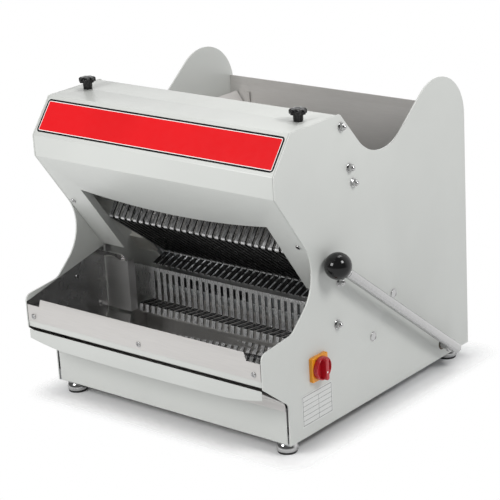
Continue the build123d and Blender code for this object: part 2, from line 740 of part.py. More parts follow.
def shaft_bushes():
    bush = ring(INNER, HALF, PIVOT, BUSH_R, SHAFT_R + RUN_GAP)
    bush += ring(INNER - BUSH_FLANGE_T, INNER, PIVOT, BUSH_FLANGE_R, SHAFT_R + RUN_GAP)
    return both(bush)


def arm_buffers():
    """Rubber sleeves on the rear tube that the pusher's arms come to rest on."""
    away = (PIVOT[0] - REAR_TUBE[0], REAR_TUBE[1] - PIVOT[1])
    gap_angle = radians(ARM_ANGLE) - atan2(away[1], away[0])
    radius = hypot(*away) * sin(gap_angle) - ARM_HALF_W - BUFFER_GAP
    return both(ring(ARM_X - BUFFER_LAP, ARM_X + ARM_T + BUFFER_LAP, REAR_TUBE, radius, TUBE_R))


# ================================================================ blade frames
BEAM_LOW_T = BLADE_LOW - BEAM_START - BEAM_H
BEAM_HIGH_T = BLADE_HIGH + BEAM_START


def layer(side):
    """The offsets between which one frame's beams and rails lie: front frame -1, rear frame +1."""
    near, far = side * BEAM_NEAR, side * (BEAM_NEAR + BEAM_DEPTH)
    return (min(near, far), max(near, far))


def own_blades(side):
    start = 0 if side < 0 else 1
    return BLADE_XS[start::2]


def blade_frame(side):
    off = layer(side)
    rail_end = RAIL_X + RAIL_W
    frame = blade_block(-RAIL_X, RAIL_X, BEAM_LOW_T, BEAM_LOW_T + BEAM_H, *off)
    frame += blade_block(-RAIL_X, RAIL_X, BEAM_HIGH_T, BEAM_HIGH_T + BEAM_H, *off)
    frame += blade_block(RAIL_X, rail_end, BEAM_LOW_T, BEAM_HIGH_T + BEAM_H, *off)
    frame += blade_block(-rail_end, -RAIL_X, BEAM_LOW_T, BEAM_HIGH_T + BEAM_H, *off)
    reach = side * (TANG_GAP + TANG_W + TANG_SIDE_GAP)
    depth = (min(0, reach), max(0, reach))
    cuts = []
    for x in own_blades(side):
        half = BLADE_T / 2 + TANG_SIDE_GAP
        cuts.append(blade_block(x - half, x + half, BEAM_LOW_T - OVER, BEAM_LOW_T + BEAM_H + OVER, *depth))
        cuts.append(blade_block(x - half, x + half, BEAM_HIGH_T - OVER, BEAM_HIGH_T + BEAM_H + OVER, *depth))
    return frame - Compound(cuts)


def blades(side):
    """One frame's blades: strips with a narrower tang at each end, held in the beams' slots."""
    tang = (TANG_GAP, TANG_GAP + TANG_W) if side > 0 else (-TANG_GAP - TANG_W, -TANG_GAP)
    half = BLADE_T / 2
    one = blade_block(-half, half, BLADE_LOW, BLADE_HIGH, -BLADE_W / 2, BLADE_W / 2)
    one += blade_block(-half, half, BLADE_LOW - TANG_LEN, BLADE_HIGH + TANG_LEN, *tang)
    return Compound([Pos(x, 0, 0) * one for x in own_blades(side)])


CRANK = on_blade(CRANK_T, 0)
THROW = STROKE / 2
RING_IN = ECC_R + THROW + THROW + ECC_GAP
RING_OUT = RING_IN + RING_WALL


def drive_links(side):
    x = LINK_A_X if side < 0 else LINK_B_X
    low, high = x - LINK_T / 2, x + LINK_T / 2
    off = layer(side)
    stem = blade_block(low, high, CRANK_T + RING_IN, BEAM_LOW_T, *off)
    link = stem + rod(low, high, CRANK, RING_OUT) - rod(low - OVER, high + OVER, CRANK, RING_IN)
    return both(link)


def crankshaft():
    shaft = rod(SHAFT_END_GAP - INNER, INNER - SHAFT_END_GAP, CRANK, CRANK_R)
    for side, x in ((-1, LINK_A_X), (1, LINK_B_X)):
        eccentric = on_blade(CRANK_T, side * THROW)
        for place_x in (-x, x):
            shaft += rod(place_x - LINK_T / 2, place_x + LINK_T / 2, eccentric, ECC_R)
    return shaft


def crank_bearings():
    return both(ring(INNER - BEARING_T, INNER, CRANK, BEARING_R, CRANK_R + RUN_GAP))


def guide_blocks():
    """Nylon blocks on the plates that both frames' rails run in."""
    rail_end = RAIL_X + RAIL_W + GUIDE_GAP
    far = BEAM_NEAR + BEAM_DEPTH + GUIDE_GAP
    blocks = []
    for t in (GUIDE_LOW_T, GUIDE_HIGH_T):
        block = blade_block(rail_end, INNER, t, t + GUIDE_LEN, -far - GUIDE_LIP, far + GUIDE_LIP)
        lip_x = RAIL_X + RAIL_W / 2
        block += blade_block(lip_x, rail_end, t, t + GUIDE_LEN, far, far + GUIDE_LIP)
        block += blade_block(lip_x, rail_end, t, t + GUIDE_LEN, -far - GUIDE_LIP, -far)
        rib = BEAM_NEAR - GUIDE_GAP
        block += blade_block(lip_x, rail_end, t, t + GUIDE_LEN, -rib, rib)
        blocks += [block, mirrored(block)]
    return Compound(blocks)


# ================================================================ motor and belt
def pulley(point, radius, bore):
    low, high = PULLEY_X - PULLEY_W / 2, PULLEY_X + PULLEY_W / 2
    body = rod(low, high, point, radius)
    rim = (PULLEY_W - BELT_W) / 2 - BELT_GAP
    body += rod(low, low + rim, point, radius + RIM) + rod(high - rim, high, point, radius + RIM)
    return body - rod(low - OVER, high + OVER, point, bore)


def drive_belt():
    def loop(extra):
        a = side_circle(CRANK, DRIVEN_R + extra)
        b = side_circle(MOTOR_CENTRE, DRIVER_R + extra)
        return a + b + belt_web(extra)

    return slab(loop(BELT_GAP + BELT_T) - loop(BELT_GAP), PULLEY_X - BELT_W / 2, PULLEY_X + BELT_W / 2)


def side_circle(point, radius):
    return Plane.YZ * Pos(*point) * Circle(radius)


def belt_web(extra):
    """The four-sided face between the belt's two straight runs."""
    gap = (MOTOR_CENTRE[0] - CRANK[0], MOTOR_CENTRE[1] - CRANK[1])
    distance = hypot(*gap)
    heading = atan2(gap[1], gap[0])
    lean = atan2(sqrt(distance**2 - (DRIVEN_R - DRIVER_R) ** 2), DRIVEN_R - DRIVER_R)
    corners = []
    for centre, radius, signs in ((CRANK, DRIVEN_R, (1, -1)), (MOTOR_CENTRE, DRIVER_R, (-1, 1))):
        for s in signs:
            a = heading + s * lean
            r = radius + extra
            corners.append((centre[0] + r * cos(a), centre[1] + r * sin(a)))
    return side_face(corners, [0] * 4)


MOTOR_RIGHT_X = MOTOR_LEFT_X + MOTOR_LEN
MOTOR_MID_X = MOTOR_LEFT_X + MOTOR_LEN / 2


def motor_body():
    """The finned housing with its end shield, its feet and the bore for its shaft."""
    core_r = MOTOR_R - FIN_H
    body = rod(MOTOR_LEFT_X, MOTOR_RIGHT_X, MOTOR_CENTRE, core_r)
    body += rod(MOTOR_LEFT_X, MOTOR_LEFT_X + SHIELD_T, MOTOR_CENTRE, MOTOR_R)
    fin_low = core_r - FIN_ROOT
    fin_len = MOTOR_LEN - 2 * SHIELD_T
    fin = Pos(0, 0, (fin_low + MOTOR_R) / 2) * Box(fin_len, FIN_T, MOTOR_R - fin_low)
    fins = [Rot(360.0 * i / MOTOR_FINS, 0, 0) * fin for i in range(MOTOR_FINS)]
    body += [Pos(MOTOR_MID_X, *MOTOR_CENTRE) * f for f in fins]
    x_range = (MOTOR_MID_X - MOTOR_FOOT_HALF_X, MOTOR_MID_X + MOTOR_FOOT_HALF_X)
    for y in (MOTOR_CENTRE[0] - MOTOR_FOOT_Y, MOTOR_CENTRE[0] + MOTOR_FOOT_Y):
        foot = (BRACKET_TOP_Z, MOTOR_CENTRE[1] - core_r / 2)
        body += box(x_range, (y - MOTOR_FOOT_W / 2, y + MOTOR_FOOT_W / 2), foot)
    x_range = (MOTOR_LEFT_X - OVER, MOTOR_LEFT_X + ROTOR_DEPTH + OVER)
    return body - rod(*x_range, MOTOR_CENTRE, MOTOR_SHAFT_R + RUN_GAP)


def motor_cowl():
    """The pressed cowl over the motor's fan end."""
    end = MOTOR_RIGHT_X + COWL_LEN
    cowl = rod(MOTOR_RIGHT_X, end, MOTOR_CENTRE, MOTOR_R - FIN_H)
    return cowl - rod(MOTOR_RIGHT_X - OVER, end - SHEET, MOTOR_CENTRE, MOTOR_R - FIN_H - SHEET)


def terminal_box():
    low = MOTOR_CENTRE[1] + MOTOR_R
    half = TERMINAL_SIZE / 2
    y = MOTOR_CENTRE[0]
    lid = box((MOTOR_MID_X - half, MOTOR_MID_X + half), (y - half, y + half), (low, low + TERMINAL_H))
    return fillet(lid.edges().filter_by(Axis.Z), SMALL_R)


def motor_bridge():
    """A bridge over the pusher's shaft that the motor's feet stand on."""
    x_range = (MOTOR_MID_X - BRACKET_HALF_X, MOTOR_MID_X + BRACKET_HALF_X)
    y_low, y_high = MOTOR_CENTRE[0] - BRACKET_HALF_Y, MOTOR_CENTRE[0] + BRACKET_HALF_Y
    base = PAN_Z + PAN_T
    bridge = box(x_range, (y_low, y_high), (base, BRACKET_TOP_Z))
    bridge -= box(x_range, (y_low + BRACKET_T, y_high - BRACKET_T), (base, BRACKET_TOP_Z - BRACKET_T))
    bridge += box(x_range, (y_low - BRACKET_FOOT, y_low), (base, base + BRACKET_T))
    return bridge + box(x_range, (y_high, y_high + BRACKET_FOOT), (base, base + BRACKET_T))


def motor_shaft():
    end = MOTOR_LEFT_X + ROTOR_DEPTH
    return rod(PULLEY_X - PULLEY_W / 2, end, MOTOR_CENTRE, MOTOR_SHAFT_R)


# ================================================================ hopper and covers
def hopper_front():
    """The inclined plate behind the hood, with tabs down the side plates."""
    top = (HOOD_REAR_Y - SMALL_R - SHEET, TOP_Z - HOOD_BACK_DROP)
    plate = sheet([HOPPER_FRONT_LOW, top, (top[0], TOP_Z - SHEET - 2 * BEND_R)], -SHEET, -INNER, INNER)
    return plate


def hopper_rear():
    path = [(HOPPER_REAR_Y, HOPPER_REAR_TOP_Z), (HOPPER_REAR_Y, HOPPER_FOLD_Z), HOPPER_REAR_LOW]
    return sheet(path, -SHEET, -INNER, INNER)


DECK_FRONT = (REAR_TUBE[0], REAR_TUBE[1] + TUBE_R + SHEET)


def drive_deck():
    """The folded floor below the pusher's swing that covers the drive."""
    rear_y = HOPPER_REAR_LOW[0] - SHEET
    path = [DECK_FRONT, DECK_KNEE, DECK_MID, (rear_y, DECK_MID[1]), (rear_y, DECK_MID[1] + DECK_UPTURN)]
    return sheet(path, SHEET, -DECK_HALF_W, DECK_HALF_W)


def hopper_guides():
    """Sloping side guides that narrow the hopper, folded onto its rear plate."""
    slope = tan(radians(CHEEK_SLOPE))
    low_z, high_z = CHEEK_LOW_Z, CHEEK_LOW_Z + CHEEK_H
    corners = [(CHEEK_X, low_z), (CHEEK_X + CHEEK_H * slope, high_z)]
    corners += [(CHEEK_X + CHEEK_H * slope + SHEET, high_z), (CHEEK_X + SHEET, low_z)]
    outline = make_face(Polyline(*corners, close=True))
    rear_y = hopper_rear_y(low_z)
    guide = Pos(0, rear_y, 0) * extrude(Plane.XZ * outline, rear_y - CHEEK_FRONT_Y)
    guide += box((CHEEK_X, CHEEK_X + CHEEK_TAB), (rear_y - SHEET, rear_y), (low_z, high_z))
    return both(guide)


def hopper_rear_y(z):
    """How far back the hopper's sloping rear plate is at a height, on its inner face."""
    share = (z - HOPPER_REAR_LOW[1]) / (HOPPER_FOLD_Z - HOPPER_REAR_LOW[1])
    return HOPPER_REAR_LOW[0] + (HOPPER_REAR_Y - HOPPER_REAR_LOW[0]) * share


def rear_panel():
    """The louvred back of the drive bay."""
    half = INNER - HOOD_GAP
    y_range = (REAR_PANEL_Y, REAR_PANEL_Y + SHEET)
    panel = box((-half, half), y_range, (0, REAR_PANEL_TOP_Z))
    for side in (-1, 1):
        edge = side * half
        x_range = (min(edge, edge - side * SHEET), max(edge, edge - side * SHEET))
        fold_y = (REAR_PANEL_Y - PANEL_FOLD, REAR_PANEL_Y)
        panel += box(x_range, fold_y, (LOUVRE_LOW_Z, DECK_MID[1] - PANEL_FOLD))
    for column in (-1, 0, 1):
        x = column * LOUVRE_COLUMN
        for i in range(LOUVRES):
            z = LOUVRE_LOW_Z + i * LOUVRE_STEP
            x_range = (x - LOUVRE_W / 2, x + LOUVRE_W / 2)
            panel -= box(x_range, (REAR_PANEL_Y - OVER, REAR_PANEL_Y + 2 * SHEET), (z, z + LOUVRE_H))
    return panel - along_y(REAR_PANEL_Y - OVER, REAR_PANEL_Y + 2 * SHEET, (GLAND_X, GLAND_Z), GLAND_THREAD_R)


def along_y(y_low, y_high, point, radius):
    """A round bar along y through a point (x, z)."""
    return Pos(point[0], (y_low + y_high) / 2, point[1]) * Rot(90, 0, 0) * Cylinder(radius, y_high - y_low)


def cable_gland():
    """The gland that the supply lead would enter by: a domed nut, a thread and an inner nut."""
    outer = REAR_PANEL_Y + SHEET
    point = (GLAND_X, GLAND_Z)
    gland = along_y(REAR_PANEL_Y - GLAND_NUT, outer + GLAND_PROUD / 2, point, GLAND_THREAD_R)
    gland += along_y(REAR_PANEL_Y - GLAND_NUT, REAR_PANEL_Y, point, GLAND_R)
    gland += along_y(outer, outer + GLAND_PROUD / 2, point, GLAND_R)
    dome = along_y(outer + GLAND_PROUD / 2, outer + GLAND_PROUD, point, GLAND_R - GLAND_STEP)
    gland += fillet(dome.edges().sort_by(Axis.Y)[-1], GLAND_PROUD / 4)
    return gland - along_y(REAR_PANEL_Y - 2 * GLAND_NUT, outer + 2 * GLAND_PROUD, point, GLAND_BORE_R)


def base_pan():
    """The closing plate under the drive, resting on the rear feet's brackets."""
    pan = box((-INNER, INNER), (BASE_PAN_Y, REAR_PANEL_Y - PAN_CLEAR), (PAN_Z, PAN_Z + PAN_T))
    for x in (-FOOT_X, FOOT_X):
        pan -= Pos(x, FOOT_REAR_Y, PAN_Z) * Cylinder(FOOT_STEM_R + PAN_CLEAR, 4 * PAN_T)
    return pan


# ================================================================ feet, switch, fasteners
def nut(x, point):
    """A washer and a domed nut standing out from the plate's outer face at +x."""
    washer = rod(x, x + WASHER_T, point, WASHER_R)
    hexagon = extrude(Plane.YZ * RegularPolygon(NUT_AF / 2, 6, major_radius=False), NUT_H)
    dome = Sphere(NUT_DOME_R)
    body = Pos(x + WASHER_T, *point) * hexagon
    body += Pos(x + WASHER_T + NUT_H, *point) * dome
    return washer + body


def plate_nuts():
    points = [HOOD_NUT, *HOPPER_NUTS, *GUARD_NUTS]
    right = [nut(HALF, p) for p in points]
    return Compound(right + [mirrored(n) for n in right])


def tube_plugs():
    """Press-in caps in the open ends of the two cross tubes."""
    plugs = []
    for point in (REAR_TUBE, FRONT_TUBE):
        cap = rod(HALF, HALF + WASHER_T, point, TUBE_R + PLUG_LAP)
        cap = fillet(cap.edges().sort_by(Axis.X)[-1], WASHER_T * EDGE_SHARE)
        cap += rod(HALF - PLUG_DEPTH, HALF, point, TUBE_R - TUBE_WALL)
        plugs += [cap, mirrored(cap)]
    return Compound(plugs)


def screw(point, outward):
    """A pan-head screw whose head stands on a face, with a short shank behind it."""
    head = Cylinder(SCREW_R, SCREW_HEAD_H, align=(Align.CENTER, Align.CENTER, Align.MIN))
    head = fillet(head.edges().sort_by(Axis.Z)[-1], SCREW_HEAD_H * EDGE_SHARE)
    slot = Box(SCREW_R * SLOT_SHARE, SCREW_SLOT, SCREW_HEAD_H)
    cross = Pos(0, 0, SCREW_HEAD_H) * (slot + Rot(0, 0, 90) * slot)
    return Plane(origin=point, z_dir=outward) * (head - cross)


def panel_screws():
    """The screws of the lip plate, the hood's side strips and the guards."""
    screws = [screw((x, LIP_Y, LIP_SCREW_Z), (0, -1, 0)) for x in (-LIP_SCREW_X, 0, LIP_SCREW_X)]
    y, z = along_face(STRIP_SCREW_S)
    out = (0, NOSE_DIR[1], -NOSE_DIR[0])
    for x in (-STRIP_SCREW_X, STRIP_SCREW_X):
        screws.append(screw((x, y, z), out))
    for side in (-1, 1):
        screws.append(screw((side * INNER, *INNER_SCREW), (-side, 0, 0)))
    return Compound(screws)


def switch_body():
    half = SWITCH_SIZE / 2
    y, z = ISOLATOR
    body = box((INNER - SWITCH_DEPTH, INNER), (y - half, y + half), (z - half, z + half))
    return fillet(body.edges().filter_by(Axis.X), SWITCH_CORNER_R)


def switch_cover():
    """A sheet cover over the switch, between the side plate and the slice tray."""
    half = SWITCH_SIZE / 2 + PAN_CLEAR
    y, z = ISOLATOR
    inner_x = INNER - SWITCH_DEPTH - PAN_CLEAR
    inner = box((inner_x, INNER + OVER), (y - half, y + half), (z - half, z + half))
    half += SHEET
    outer = box((inner_x - SHEET, INNER), (y - half, y + half), (z - half, z + half))
    return outer - inner


def isolator_plate():
    """The square yellow plate under the switch's handle."""
    half = ISOLATOR_SIZE / 2
    y, z = ISOLATOR
    plate = box((HALF, HALF + ISOLATOR_T), (y - half, y + half), (z - half, z + half))
    plate = fillet(plate.edges().filter_by(Axis.X), SWITCH_CORNER_R)
    plate = fillet(plate.faces().sort_by(Axis.X)[-1].edges(), SOFT_EDGE_R)
    hole = (y - half + PADLOCK_INSET[0], z + half - PADLOCK_INSET[1])
    plate -= rod(HALF + ISOLATOR_T / 2, HALF + 2 * ISOLATOR_T, hole, PADLOCK_HOLE_R)
    return plate - rod(HALF - OVER, HALF + 2 * ISOLATOR_T, ISOLATOR, SPINDLE_R + RUN_GAP)


def isolator_handle():
    """The round handle: a cup with a raised rim and a grip bar across it."""
    low = HALF + ISOLATOR_T + HANDLE_GAP
    high = low + HANDLE_T
    cup = rod(low, high, ISOLATOR, HANDLE_R)
    cup = fillet(cup.edges().sort_by(Axis.X)[-1], SOFT_EDGE_R)
    cup -= rod(low + HANDLE_FLOOR, high + OVER, ISOLATOR, HANDLE_R - HANDLE_RIM)
    half = GRIP_LEN / 2
    y, z = ISOLATOR
    x_range = (low + HANDLE_FLOOR / 2, high + GRIP_PROUD)
    grip = box(x_range, (y - GRIP_W / 2, y + GRIP_W / 2), (z - half, z + half))
    grip = fillet(grip.edges().filter_by(Axis.X), GRIP_END_R)
    grip = fillet(grip.faces().sort_by(Axis.X)[-1].edges(), SOFT_EDGE_R)
    return cup + grip + rod(HALF + PAN_CLEAR, low + HANDLE_FLOOR / 2, ISOLATOR, SPINDLE_R)


def rating_label():
    y, z = LABEL
    half_y, half_z = LABEL_SIZE[0] / 2, LABEL_SIZE[1] / 2
    return box((HALF, HALF + LABEL_T), (y - half_y, y + half_y), (z - half_z, z + half_z))


FOOT_PLACES = [(x, y) for x in (-FOOT_X, FOOT_X) for y in (FOOT_FRONT_Y, FOOT_REAR_Y)]


def foot_bracket(x, y):
    """An angle under each corner that a foot screws into."""
    side = 1 if x > 0 else -1
    half = BRACKET_W / 2
    x_in, x_out = side * (INNER - BRACKET_W), side * INNER
    flat = box((min(x_in, x_out), max(x_in, x_out)), (y - half, y + half), (0, FOOT_PLATE_T))
    x_up = side * (INNER - FOOT_PLATE_T)
    flat -= Pos(x, y, 0) * Cylinder(FOOT_STEM_R, 4 * FOOT_PLATE_T)
    # The rear brackets are flat, because the base pan lies on them.
    if y == FOOT_REAR_Y:
        return flat
    z_range = (FOOT_PLATE_T, BRACKET_W / 2)
    return flat + box((min(x_up, x_out), max(x_up, x_out)), (y - half, y + half), z_range)


def foot_bell(x, y):
    """A chromed bell turned in one piece with its threaded stem and locknut."""
    pad = -FOOT_H + FOOT_PAD_H
    outline = make_face(
        Polyline((0, 0), (FOOT_TOP_R, 0))
        + ThreePointArc((FOOT_TOP_R, 0), FOOT_SHOULDER, (FOOT_R, pad * FOOT_WAIST))
        + Polyline((FOOT_R, pad * FOOT_WAIST), (FOOT_R, pad), (0, pad), (0, 0))
    )
    bell = revolve(Plane.XZ * outline, Axis.Z)
    bell += Cylinder(FOOT_STEM_R, FOOT_STEM_LEN, align=(Align.CENTER, Align.CENTER, Align.MIN))
    seat = PAN_Z + PAN_T if y == FOOT_REAR_Y else FOOT_PLATE_T
    lock = Pos(0, 0, seat) * extrude(RegularPolygon(FOOT_NUT_R, 6), FOOT_NUT_H)
    return Pos(x, y, 0) * (bell + lock)


def foot_pad(x, y):
    pad = Cylinder(FOOT_PAD_R, FOOT_PAD_H, align=(Align.CENTER, Align.CENTER, Align.MIN))
    return Pos(x, y, -FOOT_H) * fillet(pad.edges().sort_by(Axis.Z)[0], FOOT_PAD_EDGE)


# ================================================================ what each file holds
PARTS = {
    "side_plate_right": side_plate(1),
    "side_plate_left": side_plate(-1),
    "hood_cover": hood_cover(),
    "front_band": front_band(),
    "hood_brackets": hood_brackets(),
    "cross_tubes": Compound([cross_tube(REAR_TUBE), cross_tube(FRONT_TUBE)]),
    "tube_plugs": tube_plugs(),
    "hopper_front_plate": hopper_front(),
    "hopper_rear_plate": hopper_rear(),
    "hopper_guides": hopper_guides(),
    "drive_deck": drive_deck(),
    "rear_panel": rear_panel(),
    "base_pan": base_pan(),
    "base_front_panel": base_front_panel(),
    "front_rail": front_rail(),
    "lip_plate": slice_lip(),
    "slice_tray": slice_tray(),
    "side_guards": both(side_guard()),
    "outfeed_comb": outfeed_comb(),
    "tray_runners": tray_runners(),
    "blade_guides": guide_blocks(),
    "crank_bearings": crank_bearings(),
    "shaft_bushes": shaft_bushes(),
    "arm_buffers": arm_buffers(),
    "motor_body": motor_body(),
    "motor_cowl": motor_cowl(),
    "motor_bridge": motor_bridge(),
    "terminal_box": terminal_box(),
    "drive_belt": drive_belt(),
    "switch_body": switch_body(),
    "switch_cover": switch_cover(),
    "isolator_plate": isolator_plate(),
    "rating_label": rating_label(),
    "dome_nuts": plate_nuts(),
    "panel_screws": panel_screws(),
    "foot_brackets": Compound([foot_bracket(x, y) for x, y in FOOT_PLACES]),
    "foot_bells": Compound([foot_bell(x, y) for x, y in FOOT_PLACES]),
    "foot_pads": Compound([foot_pad(x, y) for x, y in FOOT_PLACES]),
    "cable_gland": cable_gland(),
    "pusher_arms": Compound([pusher_arm(-1), pusher_arm(1)]),
    "pusher_bar": pusher_bar(),
    "pusher_fingers": pusher_fingers(),
    "pusher_shaft": pusher_shaft(),
    "lever_rod": lever_rod(),
    "lever_ball": lever_ball(),
    "blade_frame_front": blade_frame(-1),
    "blades_front": blades(-1),
    "drive_links_front": drive_links(-1),
    "blade_frame_rear": blade_frame(1),
    "blades_rear": blades(1),
    "drive_links_rear": drive_links(1),
    "crankshaft": crankshaft(),
    "driven_pulley": pulley(CRANK, DRIVEN_R, CRANK_R),
    "motor_shaft": motor_shaft(),
    "motor_pulley": pulley(MOTOR_CENTRE, DRIVER_R, MOTOR_SHAFT_R),
    "crumb_tray_front": tray_front(),
    "crumb_pan": crumb_pan(),
    "isolator_handle": isolator_handle(),
    "knob_left": star_knob(-KNOB_X),
    "knob_right": star_knob(KNOB_X),
}

os.makedirs("parts", exist_ok=True)
for name, shape in PARTS.items():
    export_step(solids_of(place(shape)), f"parts/{name}.step")
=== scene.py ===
import json
import math

import bpy
from mathutils import Matrix, Vector

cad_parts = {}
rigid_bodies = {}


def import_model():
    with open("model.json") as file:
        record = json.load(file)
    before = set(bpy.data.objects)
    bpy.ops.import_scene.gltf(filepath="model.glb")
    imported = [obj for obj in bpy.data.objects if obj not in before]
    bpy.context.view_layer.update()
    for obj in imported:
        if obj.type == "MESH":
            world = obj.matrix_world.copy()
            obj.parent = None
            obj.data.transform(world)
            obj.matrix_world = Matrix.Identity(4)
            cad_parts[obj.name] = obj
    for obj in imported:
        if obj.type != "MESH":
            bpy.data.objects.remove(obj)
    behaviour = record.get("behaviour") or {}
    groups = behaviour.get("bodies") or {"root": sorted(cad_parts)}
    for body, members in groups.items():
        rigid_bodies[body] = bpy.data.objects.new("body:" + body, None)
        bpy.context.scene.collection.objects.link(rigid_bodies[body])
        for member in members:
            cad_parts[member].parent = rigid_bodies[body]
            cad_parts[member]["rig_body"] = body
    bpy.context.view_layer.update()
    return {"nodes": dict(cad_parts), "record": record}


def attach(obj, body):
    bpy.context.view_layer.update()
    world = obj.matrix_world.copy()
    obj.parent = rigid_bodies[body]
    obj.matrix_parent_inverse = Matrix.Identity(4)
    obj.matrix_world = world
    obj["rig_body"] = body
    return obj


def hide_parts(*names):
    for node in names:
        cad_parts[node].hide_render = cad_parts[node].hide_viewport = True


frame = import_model()

# Places are written in the machine's own millimetres: x from its middle, y from the hood's
# nose, z from the side plates' lower edge. SHIFT takes them to the shared frame.
MM = 0.001
SHIFT = Vector((-20.4, -279.0, 25.0))
# Half the width over the side plates, and half the width between them.
HALF = 300.0
INNER = 297.0
# The two sides, as they are named in pieces and as the sign of x.
SIDES = {"left": -1, "right": 1}
# The y and z of the coloured face's lower and upper edges.
FACE_FOOT = (0.0, 520.5)
FACE_HEAD = (52.5, 588.0)
# The y and z of the nose's lower edge and of the mouth's deepest point: a slope joins them.
SLOPE_HEAD = (0, 478.5)
SLOPE_FOOT = (126.8, 299.6)


def at(x, y, z):
    """A place of the machine in the shared frame, in metres."""
    return (Vector((x, y, z)) + SHIFT) * MM


# ---------------------------------------------------------------- shaders
class Value:
    """A socket of a shader that can be reckoned with."""

    def __init__(self, shader, socket):
        self.shader = shader
        self.socket = socket

    def reckon(self, operation, *operands):
        return self.shader.add("Math", dict(enumerate(operands)), operation=operation)

    def __add__(self, other):
        return self.reckon("ADD", self, other)

    def __sub__(self, other):
        return self.reckon("SUBTRACT", self, other)

    def __rsub__(self, other):
        return self.reckon("SUBTRACT", other, self)

    def __mul__(self, other):
        return self.reckon("MULTIPLY", self, other)

    def __gt__(self, other):
        return self.reckon("GREATER_THAN", self, other)

    def __lt__(self, other):
        return self.reckon("LESS_THAN", self, other)

    def __abs__(self):
        return self.reckon("ABSOLUTE", self)

    def __mod__(self, other):
        return self.reckon("FLOORED_MODULO", self, other)

    def larger(self, other):
        return self.reckon("MAXIMUM", self, other)

    def smaller(self, other):
        return self.reckon("MINIMUM", self, other)

    def root(self):
        return self.reckon("SQRT", self)

    def ramp(self, low, high, to_low=0.0, to_high=1.0):
        """This value drawn from one range to another and kept within it."""
        span = {"From Min": low, "From Max": high, "To Min": to_low, "To Max": to_high}
        return self.shader.add("MapRange", {"Value": self, **span})


class Shader:
    """One material under construction."""

    def __init__(self, name):
        self.material = bpy.data.materials.new(name)
        self.material.use_nodes = True
        self.tree = self.material.node_tree
        self.surface = self.tree.nodes["Principled BSDF"]

    def add(self, kind, inputs=None, output=0, **settings):
        """A new node with its settings and inputs; its chosen output comes back."""
        node = self.tree.nodes.new("ShaderNode" + kind)
        for name, value in settings.items():
            setattr(node, name, value)
        for key, value in (inputs or {}).items():
            self.put(node.inputs[key], value)
        return Value(self, node.outputs[output]) if node.outputs else None

    def put(self, socket, value):
        if isinstance(value, Value):
            self.tree.links.new(value.socket, socket)
        else:
            socket.default_value = value

    def set(self, **values):
        """Gives the surface's inputs, named with _ for each space, their values."""
        for name, value in values.items():
            self.put(self.surface.inputs[name.replace("_", " ")], value)

    def place(self):
        return self.add("TexCoord", output="Object")

    def axis(self, index):
        """One coordinate of the surface, in the machine's millimetres."""
        part = self.add("SeparateXYZ", {0: self.place()}, output=index)
        return part * (1 / MM) - SHIFT[index]

    def facing(self, index):
        """One share of the direction in which the surface faces."""
        normal = self.add("TexCoord", output="Normal")
        return self.add("SeparateXYZ", {0: normal}, output=index)

    def noise(self, scale, detail=2.0, rough=0.5, stretch=(1.0, 1.0, 1.0)):
        """Grey noise; the scale counts its features to a metre, stretched by axis."""
        where = self.add("VectorMath", {0: self.place(), 1: stretch}, operation="MULTIPLY")
        look = {"Vector": where, "Scale": scale, "Detail": detail, "Roughness": rough}
        return self.add("TexNoise", look)

    def colour(self, factor, first, second):
        """From the first colour at a factor of 0 to the second at 1."""
        mix = {0: factor, 6: first, 7: second}
        return self.add("Mix", mix, output=2, data_type="RGBA")

    def bump(self, height, depth):
        """A relief whose height of one stands for a depth in millimetres."""
        relief = {"Height": height, "Distance": depth * MM, "Strength": 1.0}
        return self.add("Bump", relief)


class Sky(Shader):
    """The world's own shader."""

    def __init__(self, name):
        self.world = bpy.data.worlds.new(name)
        self.world.use_nodes = True
        self.tree = self.world.node_tree
        self.tree.nodes.clear()


def grey(value, warm=0.0):
    return (value * (1 + warm), value, value * (1 - warm), 1.0)


def shaded(colour, share):
    """A share of a colour's light."""
    return tuple(c * share for c in colour[:3]) + (1.0,)


# ---------------------------------------------------------------- finishes
# Noise lies around a half: a narrow span of it drives most colours, and a wide one most gloss.
NARROW = (0.35, 0.65)
WIDE = (0.3, 0.7)

# The enamel, and the polished lining of the side plates beside the slice tray: the layer of x
# that holds it, how far back it reaches, and its upper edge, which rises towards the back.
PAINT = (0.600, 0.610, 0.583, 1.0)
LINING_LAYER = (INNER - 0.5, INNER + 0.4)
LINING_END = 166.0
LINING_TOP = 207.0
LINING_RISE = 0.222


def plate_paint(name):
    """The machine's enamel; beside the slice tray the side plates are lined with polished steel."""
    s = Shader(name)
    across, back, height = abs(s.axis(0)), s.axis(1), s.axis(2)
    layer = (across < LINING_LAYER[1]) * (across > LINING_LAYER[0]) * (back < LINING_END)
    lined = layer * (height - back * LINING_RISE < LINING_TOP)
    cloud = s.noise(4.0, 3.0)
    paint = s.colour(cloud.ramp(*NARROW), shaded(PAINT, 0.95), PAINT)
    s.set(Base_Color=s.colour(lined, paint, grey(0.42)), Metallic=lined)
    gloss = s.noise(35.0, 4.0).ramp(*WIDE, 0.34, 0.43)
    s.set(Roughness=gloss - lined * 0.13, Coat_Weight=0.1, Coat_Roughness=0.18)
    s.set(Normal=s.bump(s.noise(420.0, 2.0) * (1.0 - lined), 0.012))
    return s.material


def brushed(name, colour, stretch, rough, depth, streak=0.1, metallic=1.0):
    """Sheet brushed one way: fine streaks in colour, gloss and relief."""
    s = Shader(name)
    fine = s.noise(900.0, 3.0, 0.6, stretch)
    broad = s.noise(5.0, 2.0)
    tone = s.colour(fine.ramp(*NARROW), shaded(colour, 1 - streak), colour)
    s.set(Base_Color=tone, Metallic=metallic)
    gloss = fine.ramp(*WIDE, rough - 0.05, rough + 0.07) + broad.ramp(*WIDE, -0.03, 0.03)
    s.set(Roughness=gloss, Normal=s.bump(fine, depth))
    return s.material


